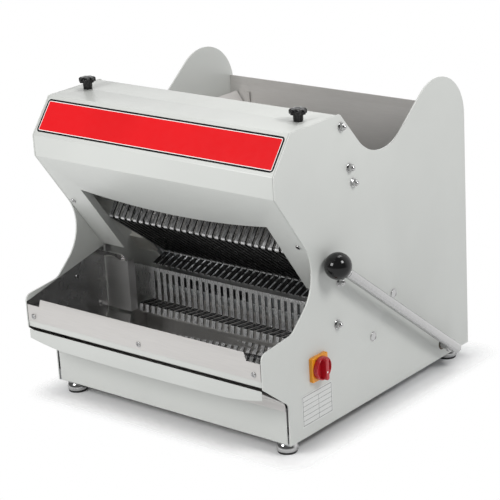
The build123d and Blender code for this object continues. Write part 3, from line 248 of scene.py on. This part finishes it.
def mirror_sheet(name, colour):
    """Bright annealed sheet: almost a mirror, with faint wiping marks and a slight wave."""
    s = Shader(name)
    wipe = s.noise(60.0, 4.0, 0.6, (0.25, 1.0, 1.0))
    s.set(Base_Color=s.colour(wipe.ramp(*WIDE), colour, shaded(colour, 0.96)), Metallic=1.0)
    # The level tray is polished, and the upright flanks of the guards are brushed.
    upright = abs(s.facing(2)) < 0.5
    s.set(Roughness=wipe.ramp(0.35, 0.75, 0.03, 0.06) + upright * 0.36)
    s.set(Normal=s.bump(s.noise(7.0, 1.0), 0.05))
    return s.material


def chrome(name, colour):
    """Chrome plate with fine polishing marks."""
    s = Shader(name)
    mark = s.noise(260.0, 5.0, 0.65)
    s.set(Base_Color=s.colour(mark.ramp(0.4, 0.6), colour, shaded(colour, 0.94)), Metallic=1.0)
    s.set(Roughness=mark.ramp(*WIDE, 0.05, 0.1), Normal=s.bump(mark, 0.0006))
    return s.material


def plastic(name, colour, rough, grain, scale=500.0, coat=0.0):
    """Moulded plastic with a fine spark-eroded grain."""
    s = Shader(name)
    cloud = s.noise(20.0, 2.0)
    s.set(Base_Color=s.colour(cloud.ramp(*NARROW), shaded(colour, 0.92), colour))
    fine = s.noise(scale, 3.0)
    s.set(Roughness=fine.ramp(*WIDE, rough - 0.04, rough + 0.05), Specular_IOR_Level=0.35)
    s.set(Coat_Weight=coat, Coat_Roughness=0.05, Normal=s.bump(fine, grain))
    return s.material


def casting(name, colour, rough=0.5, grain=0.08, metallic=0.0):
    """A painted or bare casting with a sandy skin."""
    s = Shader(name)
    skin = s.noise(320.0, 5.0, 0.6)
    s.set(Base_Color=s.colour(skin.ramp(*NARROW), shaded(colour, 0.85), colour))
    s.set(Metallic=metallic, Roughness=skin.ramp(*WIDE, rough - 0.08, rough + 0.08))
    s.set(Normal=s.bump(skin, grain))
    return s.material


def cut_bars(name, face, edge):
    """Bars cut from dark steel, darkened further by painted shade, with a painted highlight in the
    edge colour on faces turned forward.
    """
    s = Shader(name)
    forward = 0.0 - s.facing(1)
    ground = s.noise(700.0, 3.0, 0.6, (1.0, 0.1, 0.1))
    # Painted highlight: faces turned forward take the bright edge colour, and the ground streaks break
    # its border.
    painted_highlight = forward + ground.ramp(*WIDE, -0.08, 0.08)
    # The painted highlight's bright colour, varied by the ground streaks.
    rim = s.colour(ground.ramp(*NARROW), shaded(edge, 0.8), edge)
    s.set(Base_Color=s.colour(painted_highlight.ramp(0.72, 0.95), face, rim), Metallic=0.75)
    s.set(Roughness=ground.ramp(*WIDE, 0.24, 0.34), Specular_IOR_Level=0.35)
    s.set(Normal=s.bump(ground, 0.003))
    return s.material


def zinc_plate(name):
    """Zinc plated sheet: bluish, with soft spangle and a dull bloom."""
    s = Shader(name)
    spangle = s.add("TexVoronoi", {"Vector": s.place(), "Scale": 160.0})
    bloom = s.noise(18.0, 4.0)
    tone = s.colour(bloom.ramp(*NARROW), (0.42, 0.44, 0.46, 1), (0.56, 0.57, 0.57, 1))
    s.set(Base_Color=tone, Metallic=0.9)
    s.set(Roughness=spangle.ramp(0.0, 0.8, 0.28, 0.4) + bloom.ramp(*WIDE, -0.03, 0.05))
    s.set(Normal=s.bump(s.noise(500.0, 2.0), 0.006))
    return s.material


# The film on the coloured face: half its width, its middle along the face, half its height,
# its corners' radius, and how far inside its outline the thin white line begins and ends.
FILM_HALF = 293.2
FILM_MIDDLE = 43.0
FILM_RISE = 35.0
FILM_CORNER = 7.0
FILM_LINE = (3.6, 4.9)


def red_film(name):
    """The band's red film: a black outline at its edge and a thin white line inside it."""
    s = Shader(name)
    rise = Vector((0.0, FACE_HEAD[0] - FACE_FOOT[0], FACE_HEAD[1] - FACE_FOOT[1])).normalized()
    along = s.axis(1) * rise.y + (s.axis(2) - FACE_FOOT[1]) * rise.z
    aside, aloft = abs(s.axis(0)), abs(along - FILM_MIDDLE)
    # How far a point lies inside the film's outline, whose corners are rounded.
    beside = (aside - (FILM_HALF - FILM_CORNER)).larger(0.0)
    above = (aloft - (FILM_RISE - FILM_CORNER)).larger(0.0)
    reach = (beside * beside + above * above).root()
    nearest = (FILM_HALF - aside).smaller(FILM_RISE - aloft)
    inward = (FILM_CORNER - reach).smaller(nearest)
    cloud = s.noise(6.0, 3.0)
    red = s.colour(cloud.ramp(*NARROW), (0.67, 0.0065, 0.010, 1), (0.72, 0.0075, 0.0115, 1))
    line = (inward > FILM_LINE[0]) * (inward < FILM_LINE[1])
    lined = s.colour(line, red, (0.85, 0.83, 0.81, 1))
    edged = s.colour(inward < FILM_LINE[0], lined, (0.006, 0.006, 0.007, 1))
    s.set(Base_Color=s.colour(inward < 0.0, edged, PAINT))
    s.set(Roughness=s.noise(90.0, 3.0).ramp(*WIDE, 0.3, 0.38), Specular_IOR_Level=0.3)
    s.set(Normal=s.bump(s.noise(300.0, 2.0), 0.006))
    return s.material


# The label's middle (y and z) and, from there, where its printed frame begins and ends.
LABEL_MIDDLE = (94.0, 53.5)
LABEL_WIDE = (43.3, 44.2)
LABEL_TALL = (28.3, 29.2)
# Its rows: how far below the middle they begin, their step, their line and their half length.
ROW_DROP = 29.0
ROW_STEP = 9.6
ROW_LINE = 0.7
ROW_HALF = 44.0
# Its column line: how far behind the middle it stands, half its thickness and its upper end.
COLUMN_PLACE = 4.0
COLUMN_HALF = 0.3
COLUMN_TOP = 19.0


def printed_label(name):
    """Silver film printed with an empty grid: rows, one column line and a frame."""
    s = Shader(name)
    across, up = s.axis(1) - LABEL_MIDDLE[0], s.axis(2) - LABEL_MIDDLE[1]
    wide, tall = abs(across), abs(up)
    outline = (wide > LABEL_WIDE[0]) * (wide < LABEL_WIDE[1])
    outline = outline.larger((tall > LABEL_TALL[0]) * (tall < LABEL_TALL[1]))
    inside = (wide < LABEL_WIDE[1]) * (tall < LABEL_TALL[1])
    rows = (((up + ROW_DROP) % ROW_STEP) < ROW_LINE) * (wide < ROW_HALF)
    column = (abs(across - COLUMN_PLACE) < COLUMN_HALF) * (up < COLUMN_TOP)
    lines = (outline + rows + column).ramp(0.0, 1.0) * inside
    film = s.noise(800.0, 2.0, 0.5, (1.0, 0.05, 1.0))
    silver = s.colour(film.ramp(*WIDE), (0.60, 0.605, 0.59, 1), (0.68, 0.685, 0.67, 1))
    s.set(Base_Color=s.colour(lines, silver, (0.03, 0.03, 0.03, 1)))
    s.set(Metallic=0.25, Roughness=film.ramp(*WIDE, 0.3, 0.4), Normal=s.bump(film, 0.002))
    return s.material


# The handle's white spot: its middle (y and z), its radius squared, and the x it lies beyond.
SPOT = (96.7, 123.0)
SPOT_SQUARE = 3.2
SPOT_FRONT = 318.0


def red_handle(name):
    """The switch handle's red plastic, with a white spot near the grip's lower end."""
    s = Shader(name)
    spot_y, spot_z = s.axis(1) - SPOT[0], s.axis(2) - SPOT[1]
    near = (spot_y * spot_y + spot_z * spot_z) < SPOT_SQUARE
    front = s.axis(0) > SPOT_FRONT
    cloud = s.noise(25.0, 2.0)
    red = s.colour(cloud.ramp(*NARROW), (0.42, 0.006, 0.014, 1), (0.48, 0.008, 0.017, 1))
    s.set(Base_Color=s.colour(near * front, red, (0.85, 0.85, 0.83, 1)))
    fine = s.noise(600.0, 3.0)
    s.set(Roughness=fine.ramp(*WIDE, 0.26, 0.34), Coat_Weight=0.2, Coat_Roughness=0.1)
    s.set(Normal=s.bump(fine, 0.008))
    return s.material


# The sheet's brushing runs along x, and the blades' and the turned pieces' across it.
ALONG_X = (0.03, 1.0, 1.0)
ACROSS_X = (1.0, 0.1, 0.1)
TURNING = (1.0, 0.2, 0.2)

FINISHES = {
    "painted_white": plate_paint,
    "red_band": red_film,
    "brushed_stainless": lambda n: brushed(
        n, (0.62, 0.60, 0.58, 1), ALONG_X, 0.34, 0.003, streak=0.06, metallic=0.3
    ),
    "polished_stainless": lambda n: mirror_sheet(n, grey(0.66, 0.01)),
    # The near-black face colour is the comb's dark steel with painted shade darkening it further; the
    # light edge colour is a painted highlight on forward faces.
    "comb_steel": lambda n: cut_bars(n, grey(0.022), grey(0.78)),
    "blade_steel": lambda n: brushed(n, grey(0.50), ACROSS_X, 0.26, 0.003),
    "turned_steel": lambda n: brushed(n, grey(0.45), TURNING, 0.25, 0.004),
    "bright_chrome": lambda n: chrome(n, grey(0.5)),
    "zinc_steel": zinc_plate,
    "cast_aluminium": lambda n: casting(n, (0.46, 0.47, 0.48, 1), 0.38, 0.02, 0.9),
    "cast_housing": lambda n: casting(n, (0.08, 0.085, 0.09, 1)),
    "bronze": lambda n: casting(n, (0.085, 0.06, 0.04, 1), 0.4, 0.01, 0.8),
    "motor_grey": lambda n: casting(n, (0.11, 0.125, 0.14, 1), 0.42, 0.05),
    "black_plastic": lambda n: plastic(n, (0.016, 0.016, 0.017, 1), 0.45, 0.02),
    "gloss_black": lambda n: plastic(n, (0.006, 0.006, 0.006, 1), 0.1, 0.001, scale=200.0),
    "black_rubber": lambda n: casting(n, (0.018, 0.018, 0.018, 1), 0.72, 0.04),
    "white_nylon": lambda n: plastic(n, (0.66, 0.65, 0.60, 1), 0.42, 0.01),
    "yellow_plastic": lambda n: plastic(n, (0.85, 0.33, 0.013, 1), 0.3, 0.008, coat=0.2),
    "red_plastic": red_handle,
    "silver_label": printed_label,
}
made = {}


def finish_of(slot):
    """The material of a slot of the record, built when first asked for."""
    if slot not in made:
        made[slot] = FINISHES[slot](slot)
    return made[slot]


# ---------------------------------------------------------------- modelling tools
SLOT_OF = {s["node"]: s["material_slot"] for s in frame["record"]["subparts"]}
BODY_OF = {n: o["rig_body"] for n, o in frame["nodes"].items()}
# Points of a sheet closer than this are one, in metres, and faces within this angle are flat.
WELD = 1e-6
FLAT = math.radians(0.01)


def settle(piece, node, matrix=None):
    """Puts a finished piece in its place, on its body and instead of its CAD node."""
    if matrix is not None:
        piece.data.transform(matrix)
    piece.data.materials.clear()
    piece.data.materials.append(finish_of(SLOT_OF[node]))
    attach(piece, BODY_OF[node])
    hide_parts(node)


def clear_selection():
    bpy.ops.object.select_all(action="DESELECT")
    bpy.context.view_layer.objects.active = None


def pick(piece):
    """Makes one piece the only one selected."""
    clear_selection()
    piece.select_set(True)
    bpy.context.view_layer.objects.active = piece


def bevel(piece, width, segments=2, angle=30.0):
    """Rounds a piece's sharp edges by a width in millimetres."""
    rounding = piece.modifiers.new("edges", "BEVEL")
    rounding.width = width * MM
    rounding.segments = segments
    rounding.limit_method = "ANGLE"
    rounding.angle_limit = math.radians(angle)
    pick(piece)
    bpy.ops.object.modifier_apply(modifier=rounding.name)


def smooth(piece, angle=35.0):
    """Smooth shading, except over edges sharper than an angle in degrees."""
    pick(piece)
    bpy.ops.object.shade_smooth_by_angle(angle=math.radians(angle))


def copied(piece, name, matrix):
    """The same shape again in another place, with its own mesh."""
    again = bpy.data.objects.new(name, piece.data.copy())
    bpy.context.scene.collection.objects.link(again)
    again.data.transform(matrix)
    return again


def turned(name, profile, sides, tip=False):
    """A disc drawn up about Z through each (radius, height) in millimetres, to a tip or a flat end."""
    clear_selection()
    radius, height = profile[0]
    bpy.ops.mesh.primitive_circle_add(vertices=sides, radius=radius * MM, fill_type="NGON")
    piece = bpy.context.object
    piece.name = name
    bpy.ops.object.mode_set(mode="EDIT")
    bpy.ops.mesh.select_all(action="SELECT")
    bpy.ops.transform.translate(value=(0, 0, height * MM))
    for next_radius, next_height in profile[1:]:
        lift = (0, 0, (next_height - height) * MM)
        bpy.ops.mesh.extrude_region_move(TRANSFORM_OT_translate={"value": lift})
        share = next_radius / radius
        bpy.ops.transform.resize(value=(share, share, 1))
        radius, height = next_radius, next_height
    if tip:
        bpy.ops.mesh.merge(type="CENTER")
    bpy.ops.mesh.select_all(action="SELECT")
    bpy.ops.mesh.normals_make_consistent(inside=False)
    bpy.ops.object.mode_set(mode="OBJECT")
    return piece


def rounded(radius, height, edge, steps, up=True):
    """Profile points of a rounded rim that ends a cylinder at a height."""
    points = []
    for i in range(steps + 1):
        a = math.pi / 2 * i / steps
        z = edge * (1 - math.sin(a)) if up else -edge * (1 - math.sin(a))
        points.append((radius - edge * (1 - math.cos(a)), height - z))
    return points if up else points[::-1]


def lobed(piece, lobes, depth):
    """Draws a turned piece's outline in between its lobes."""
    mesh = piece.data
    steps = 12
    near_axis = 1e-5
    for phase in range(steps):
        share = 1 - depth * (1 - math.cos(2 * math.pi * phase / steps)) / 2
        pick(piece)
        for v in mesh.vertices:
            turn = math.atan2(v.co.y, v.co.x) / (2 * math.pi) * lobes * steps
            v.select = round(turn) % steps == phase and v.co.xy.length > near_axis
        bpy.ops.object.mode_set(mode="EDIT")
        bpy.ops.mesh.select_mode(type="VERT")
        bpy.ops.transform.resize(value=(share, share, 1), center_override=(0, 0, 0))
        bpy.ops.mesh.select_all(action="DESELECT")
        bpy.ops.object.mode_set(mode="OBJECT")


def turn_to(direction, spin=0.0):
    """A spin about Z in radians, and then the turn that takes +Z to a direction."""
    swing = Vector((0, 0, 1)).rotation_difference(Vector(direction))
    return swing.to_matrix().to_4x4() @ Matrix.Rotation(spin, 4, "Z")


def softened(node, width, segments, angle):
    """A folded or cut CAD sheet with its sharp edges rounded, so that they catch the light."""
    piece = bpy.data.objects.new(node + "_soft", frame["nodes"][node].data.copy())
    bpy.context.scene.collection.objects.link(piece)
    pick(piece)
    bpy.ops.object.mode_set(mode="EDIT")
    bpy.ops.mesh.select_all(action="SELECT")
    bpy.ops.mesh.customdata_custom_splitnormals_clear()
    bpy.ops.mesh.remove_doubles(threshold=WELD)
    bpy.ops.mesh.dissolve_limited(angle_limit=FLAT)
    bpy.ops.mesh.normals_make_consistent(inside=False)
    bpy.ops.object.mode_set(mode="OBJECT")
    bevel(piece, width, segments, angle)
    smooth(piece, angle)
    settle(piece, node)


# ---------------------------------------------------------------- turned and moulded pieces
# The hand lever: its pivot, how many degrees it leans up from level, how far from the pivot
# the ball's middle is, the radii of ball and bar, and the x where its hub starts.
LEVER = (328, 515, 30)
LEVER_LEAN = 37.5
LEVER_REACH = 475.0
BALL = 26.0
BAR = 10.0
HUB_START = 316

# The right star knob's seat on the hood; the left one's is its mirror image.
KNOB = (262, 125, 588)
KNOB_LOBES = 7

# The y and z of the domed nuts on each side plate, and of the plugs in the two cross tubes.
NUTS = [(200, 564.5), (221.4, 481.2), (231.3, 449.8), (177.5, 270.9), (164.9, 190.2)]
PLUGS = [(349.4, 192.3), (277.6, 126.8)]

# Each foot's x and y, and the height that its lock nut sits at.
FEET = [(-272, 33, 3.0), (272, 33, 3.0), (-272, 573, 5.0), (272, 573, 5.0)]

# The cable gland's seat in the rear panel.
GLAND = (-200, 605.5, 60)


def along_lever(reach=0.0):
    """The place of a piece that was drawn upwards, so far along the lever from its pivot."""
    lean = Matrix.Rotation(math.radians(90 - LEVER_LEAN), 4, "X")
    return Matrix.Translation(at(*LEVER)) @ lean @ Matrix.Translation((0, 0, reach * MM))


def ball():
    """The lever's ball, flattened where the bar enters it."""
    points = []
    steps = 26
    seat = math.asin(BAR / BALL)
    for i in range(steps):
        a = seat + (math.pi - seat) * i / steps
        points.append((BALL * math.sin(a), -BALL * math.cos(a)))
    piece = turned("ball", points, 64, tip=True)
    smooth(piece, 60)
    settle(piece, "lever_ball", along_lever(LEVER_REACH))


def rod():
    """The lever's round bar with its rounded end and a collar line, and the hub it is pinned to."""
    end, line = -17.0, 9.4
    profile = [(6.0, end)] + rounded(BAR, end, 4.0, 5, up=False)[1:]
    profile += [(BAR, 440.0), (line, 440.2), (line, 441.4), (BAR, 441.6), (BAR, 451.0)]
    bar = turned("lever_bar", profile, 40)
    smooth(bar)
    settle(bar, "lever_rod", along_lever())
    hub = turned("lever_hub", [(13.0, 0), (14.0, 1.0), (14.0, 6.2), (13.2, 7.0)], 40)
    smooth(hub)
    seat = Matrix.Translation(at(HUB_START, LEVER[1], LEVER[2]))
    settle(hub, "lever_rod", seat @ turn_to((1, 0, 0)))


def star_knobs():
    """The two black lobed knobs that hold the hood."""
    profile = [(8.6, 0.0), (9.2, 0.6), (9.5, 8.0), (9.5, 13.2), (14.6, 14.0), (16.6, 14.6)]
    profile += [(17.2, 16.0), (17.2, 20.6), (16.4, 22.4), (14.2, 23.8), (9.0, 24.8)]
    profile += [(5.2, 25.0), (4.8, 24.6)]
    knob = turned("knob_one", profile, 84)
    lobed(knob, KNOB_LOBES, 0.2)
    smooth(knob, 40)
    x, y, z = KNOB
    again = copied(knob, "knob_other", Matrix.Translation(at(-x, y, z)))
    settle(again, "knob_left")
    settle(knob, "knob_right", Matrix.Translation(at(x, y, z)))


def acorn_nuts():
    """Washers and domed nuts along both side plates."""
    washer = turned("washer_model", [(8.8, 0), (9.0, 0.3), (9.0, 1.2), (8.7, 1.5)], 36)
    smooth(washer)
    clear_selection()
    bpy.ops.mesh.primitive_cylinder_add(vertices=6, radius=7.5 * MM, depth=6.5 * MM)
    hexagon = bpy.context.object
    hexagon.name = "hexagon_model"
    hexagon.data.transform(Matrix.Translation((0, 0, 4.75 * MM)))
    bevel(hexagon, 0.5)
    smooth(hexagon, 25)
    steps, radius, foot = 8, 5.2, 8.0
    profile = [(radius, foot - 0.1)]
    for i in range(steps):
        a = math.pi / 2 * i / steps
        profile.append((radius * math.cos(a), foot + radius * math.sin(a)))
    dome = turned("dome_model", profile, 32, tip=True)
    smooth(dome, 60)
    models = {"washer": washer, "hexagon": hexagon, "dome": dome}
    for end, side in SIDES.items():
        for i, (y, z) in enumerate(NUTS):
            turn = turn_to((side, 0, 0), 0.3 + 0.7 * i)
            where = Matrix.Translation(at(side * HALF, y, z)) @ turn
            for kind, model in models.items():
                settle(copied(model, f"{kind}_{end}_{i}", where), "dome_nuts")
    for model in models.values():
        bpy.data.objects.remove(model)


def screw_places():
    """Where the pan-head screws sit, and which way their heads face."""
    places = [((x, -61.5, 165.0), (0, -1, 0)) for x in (-280.0, 0.0, 280.0)]
    fall = Vector((0, SLOPE_FOOT[0] - SLOPE_HEAD[0], SLOPE_FOOT[1] - SLOPE_HEAD[1]))
    down = fall.normalized()
    slope = Vector((0, *SLOPE_HEAD)) + down * 138.0
    places += [((x, slope.y, slope.z), (0, down.z, -down.y)) for x in (-284.0, 284.0)]
    places += [((side * INNER, 84.0, 201.0), (-side, 0, 0)) for side in SIDES.values()]
    return places


def pan_screws():
    """Pan-head screws with a cross recess."""
    head = turned("screw_model", [(5.5, 0.0), (5.5, 1.0)] + rounded(5.5, 2.5, 1.4, 4), 36)
    smooth(head, 50)
    slots = []
    for turn in (0, math.pi / 2):
        clear_selection()
        bpy.ops.mesh.primitive_cube_add(size=1.0)
        slot = bpy.context.object
        size = Matrix.Diagonal((6.0 * MM, 1.2 * MM, 1.6 * MM, 1.0))
        lift = Matrix.Translation((0, 0, 2.3 * MM))
        slot.data.transform(Matrix.Rotation(turn, 4, "Z") @ lift @ size)
        slots.append(slot)
    for slot in slots:
        cut = head.modifiers.new("recess", "BOOLEAN")
        cut.operation = "DIFFERENCE"
        cut.solver = "EXACT"
        cut.object = slot
        pick(head)
        bpy.ops.object.modifier_apply(modifier=cut.name)
        bpy.data.objects.remove(slot)
    for i, (point, out) in enumerate(screw_places()):
        where = Matrix.Translation(at(*point)) @ turn_to(out, 0.5 + 0.9 * i)
        settle(copied(head, f"screw_{i}", where), "panel_screws")
    bpy.data.objects.remove(head)


def feet():
    """Chromed bells with a turned lip, on rubber pads."""
    bell_profile = [(20.4, -20.0), (21.0, -19.4), (21.0, -13.2), (20.4, -10.6), (19.2, -7.6)]
    bell_profile += [(17.5, -5.0), (15.2, -2.6), (12.6, -0.9), (11.0, 0.0)]
    bell = turned("bell_model", bell_profile, 56)
    smooth(bell, 45)
    pad_profile = [(18.0, -25.0), (18.7, -24.7), (19.0, -24.0), (19.0, -21.4), (18.6, -21.2)]
    pad_profile += [(18.6, -20.0)]
    pad = turned("pad_model", pad_profile, 56)
    smooth(pad)
    for i, (x, y, seat) in enumerate(FEET):
        where = Matrix.Translation(at(x, y, 0))
        settle(copied(bell, f"bell_{i}", where), "foot_bells")
        settle(copied(pad, f"pad_{i}", where), "foot_pads")
        lock = turned(f"foot_lock_{i}", [(8.6, 0), (9.0, 0.5), (9.0, 4.5), (8.6, 5.0)], 6)
        settle(lock, "foot_bells", Matrix.Translation(at(x, y, seat)))
        stem = turned(f"foot_stem_{i}", [(5.0, -0.5), (5.0, 21.5), (4.5, 22.0)], 24)
        smooth(stem)
        settle(stem, "foot_bells", where)
    bpy.data.objects.remove(bell)
    bpy.data.objects.remove(pad)


def plugs():
    """Pressed caps in the cross tubes' ends."""
    rim = [(7.5, -8.0), (7.5, 0.0), (9.5, 0.0), (9.5, 0.6)]
    rim += [(8.9, 1.4), (8.5, 1.5), (8.1, 1.3), (7.9, 0.9)]
    cap = turned("plug_model", rim, 40)
    smooth(cap, 25)
    for end, side in SIDES.items():
        for i, (y, z) in enumerate(PLUGS):
            where = Matrix.Translation(at(side * HALF, y, z)) @ turn_to((side, 0, 0))
            settle(copied(cap, f"plug_{end}_{i}", where), "tube_plugs")
    bpy.data.objects.remove(cap)


def gland():
    """The cable gland: thread, inner nut, hexagon and domed cap with an open bore."""
    bore, thread, nut, cap = 4.5, 8.0, 11.0, 10.0
    profile = [(bore, -6.5), (thread, -6.5), (thread, -5.5), (nut, -5.4), (nut, -1.6)]
    profile += [(thread, -1.5), (thread, 0.0), (nut, 0.1), (nut, 7.0), (cap, 7.1)]
    profile += [(cap, 11.0), (9.4, 13.0), (7.6, 14.0), (bore, 14.0), (bore, -6.5)]
    body = turned("gland_body", profile, 36)
    # The two discs that close the bore are taken off, and its ends are joined.
    pick(body)
    bpy.ops.object.mode_set(mode="EDIT")
    bpy.ops.mesh.select_all(action="DESELECT")
    bpy.ops.object.mode_set(mode="OBJECT")
    for face in body.data.polygons:
        face.select = len(face.vertices) > 4
    bpy.ops.object.mode_set(mode="EDIT")
    bpy.ops.mesh.delete(type="ONLY_FACE")
    bpy.ops.mesh.select_all(action="SELECT")
    bpy.ops.mesh.remove_doubles(threshold=WELD)
    bpy.ops.mesh.normals_make_consistent(inside=False)
    bpy.ops.object.mode_set(mode="OBJECT")
    smooth(body)
    settle(body, "cable_gland", Matrix.Translation(at(*GLAND)) @ turn_to((0, 1, 0)))


# The folded and cut sheets, with the width and the steps that their sharp edges are rounded
# by, and the angle in degrees from which an edge is sharp.
SHEETS = [
    (("side_plate_right", "side_plate_left"), 0.5, 3, 30.0),
    (("hood_cover", "lip_plate", "slice_tray", "side_guards"), 0.35, 2, 30.0),
    (("crumb_tray_front",), 0.35, 2, 30.0),
    (("base_front_panel", "front_rail", "crumb_pan", "rear_panel"), 0.3, 2, 30.0),
    (("hopper_front_plate",), 0.3, 2, 30.0),
    (("hopper_rear_plate", "hopper_guides"), 0.3, 2, 8.0),
    (("drive_deck",), 0.3, 2, 30.0),
    (("outfeed_comb", "pusher_fingers"), 0.2, 1, 20.0),
    (("blade_frame_front", "blade_frame_rear"), 0.4, 2, 30.0),
    (("isolator_plate", "isolator_handle"), 0.4, 2, 30.0),
]


def build_pieces():
    ball()
    rod()
    star_knobs()
    acorn_nuts()
    pan_screws()
    feet()
    plugs()
    gland()
    for nodes, width, segments, angle in SHEETS:
        for node in nodes:
            softened(node, width, segments, angle)


def finish_cad_nodes():
    """Gives every CAD node the finish of its slot."""
    for name, node in frame["nodes"].items():
        node.data.materials.clear()
        node.data.materials.append(finish_of(SLOT_OF[name]))


# ---------------------------------------------------------------- studio
# The ground: its size in metres, the y of the machine's middle, and how far beyond the
# machine it has thinned out.
GROUND = 8.0
MIDDLE = 310.0
FADE = 72.0

# Each lamp's place and size in metres and its power in watts, and the point they all face.
LAMPS = {
    "front": ((-0.35, -1.7, 1.15), 0.7, 17.5),
    "right": ((1.75, -0.15, 1.75), 0.6, 19.0),
    "above": ((0.0, 0.7, 2.6), 1.2, 20.0),
}
LIT_POINT = Vector((0, 0, 0.3))

# How bright the room is: its diffuse light from below and from above, and what reflections
# show of it below the machine and in front of it.
ROOM_BELOW = 0.88
ROOM_ABOVE = 0.38
MIRRORED_BELOW = 0.9
MIRRORED_FRONT = 0.14
WHITE = (1, 1, 1, 1)

# The photo's view, solved from the machine's own corners: angles in degrees, then how far
# back, aside and up the camera stands, in millimetres.
AZIMUTH = 40.07
ELEVATION = 19.01
ROLL = -3.31
CAMERA_BACK = 3561.0
CAMERA_ASIDE = 162.8
CAMERA_UP = 316.0
LENS = 132.13
SENSOR = 36.0


def floor():
    """A pale floor that carries the shadow and thins out into the white ground around it."""
    clear_selection()
    bpy.ops.mesh.primitive_plane_add(size=GROUND)
    plane = bpy.context.object
    plane.name = "floor"
    s = Shader("floor")
    s.set(Base_Color=(0.95, 0.95, 0.95, 1), Roughness=0.9, Specular_IOR_Level=0.1)
    beside = (abs(s.axis(0)) - HALF).larger(0.0)
    beyond = (abs(s.axis(1) - MIDDLE) - HALF).larger(0.0)
    away = (beside * beside + beyond * beyond).root()
    fade = {"Value": away, "From Min": 0.0, "From Max": FADE, "To Min": 1.0, "To Max": 0.0}
    s.set(Alpha=s.add("MapRange", fade, interpolation_type="SMOOTHSTEP"))
    plane.data.materials.append(s.material)


def lamp(name, place, size, power):
    """A square soft light that faces the machine."""
    data = bpy.data.lights.new(name, "AREA")
    data.size = size
    data.energy = power
    light = bpy.data.objects.new(name, data)
    bpy.context.scene.collection.objects.link(light)
    light.location = place
    light.rotation_euler = (LIT_POINT - Vector(place)).to_track_quat("-Z", "Y").to_euler()


def surroundings():
    """A white sweep below and behind the machine, and a dimmer room in front of it."""
    s = Sky("studio")
    heading = s.add("TexCoord", output="Generated")
    backward = s.add("SeparateXYZ", {0: heading}, output=1)
    upward = s.add("SeparateXYZ", {0: heading}, output=2)
    sweep = upward.ramp(-0.15, 0.03, MIRRORED_BELOW, 0.0)
    mirrored = sweep.larger(backward.ramp(0.1, 0.6, MIRRORED_FRONT, 1.0))
    strength = sweep.ramp(0.0, MIRRORED_BELOW, ROOM_ABOVE, ROOM_BELOW)
    soft = s.add("Background", {0: (0.97, 0.985, 1, 1), 1: strength})
    bright = s.add("Background", {0: WHITE, 1: mirrored})
    white = s.add("Background", {0: WHITE, 1: 1.0})
    light = s.add("MixShader", {0: s.add("LightPath", output="Is Glossy Ray"), 1: soft, 2: bright})
    clear = s.add("LightPath", output="Is Transmission Ray")
    seen = s.add("LightPath", output="Is Camera Ray").larger(clear)
    s.add("OutputWorld", {0: s.add("MixShader", {0: seen, 1: light, 2: white})})
    bpy.context.scene.world = s.world


def studio():
    """The room, two soft lights either side of the camera and a wide one above."""
    surroundings()
    for name, (place, size, power) in LAMPS.items():
        lamp(name, place, size, power)
    bpy.context.scene.view_settings.view_transform = "Standard"


def camera():
    """The eye that takes the photo's view."""
    azimuth, elevation, roll = (math.radians(a) for a in (AZIMUTH, ELEVATION, ROLL))
    flat = math.cos(elevation)
    back = Vector((math.sin(azimuth) * flat, -math.cos(azimuth) * flat, math.sin(elevation)))
    level = Vector((math.cos(azimuth), math.sin(azimuth), 0))
    plumb = back.cross(level)
    right = math.cos(roll) * level + math.sin(roll) * plumb
    up = -math.sin(roll) * level + math.cos(roll) * plumb
    place = at(*(back * CAMERA_BACK + right * CAMERA_ASIDE + up * CAMERA_UP))
    data = bpy.data.cameras.new("camera")
    data.lens = LENS
    data.sensor_width = SENSOR
    data.clip_start = 0.1
    data.clip_end = 20.0
    eye = bpy.data.objects.new("camera", data)
    bpy.context.scene.collection.objects.link(eye)
    eye.matrix_world = Matrix((
        (right.x, up.x, back.x, place.x),
        (right.y, up.y, back.y, place.y),
        (right.z, up.z, back.z, place.z),
        (0, 0, 0, 1),
    ))
    bpy.context.scene.camera = eye


build_pieces()
finish_cad_nodes()
floor()
studio()
camera()
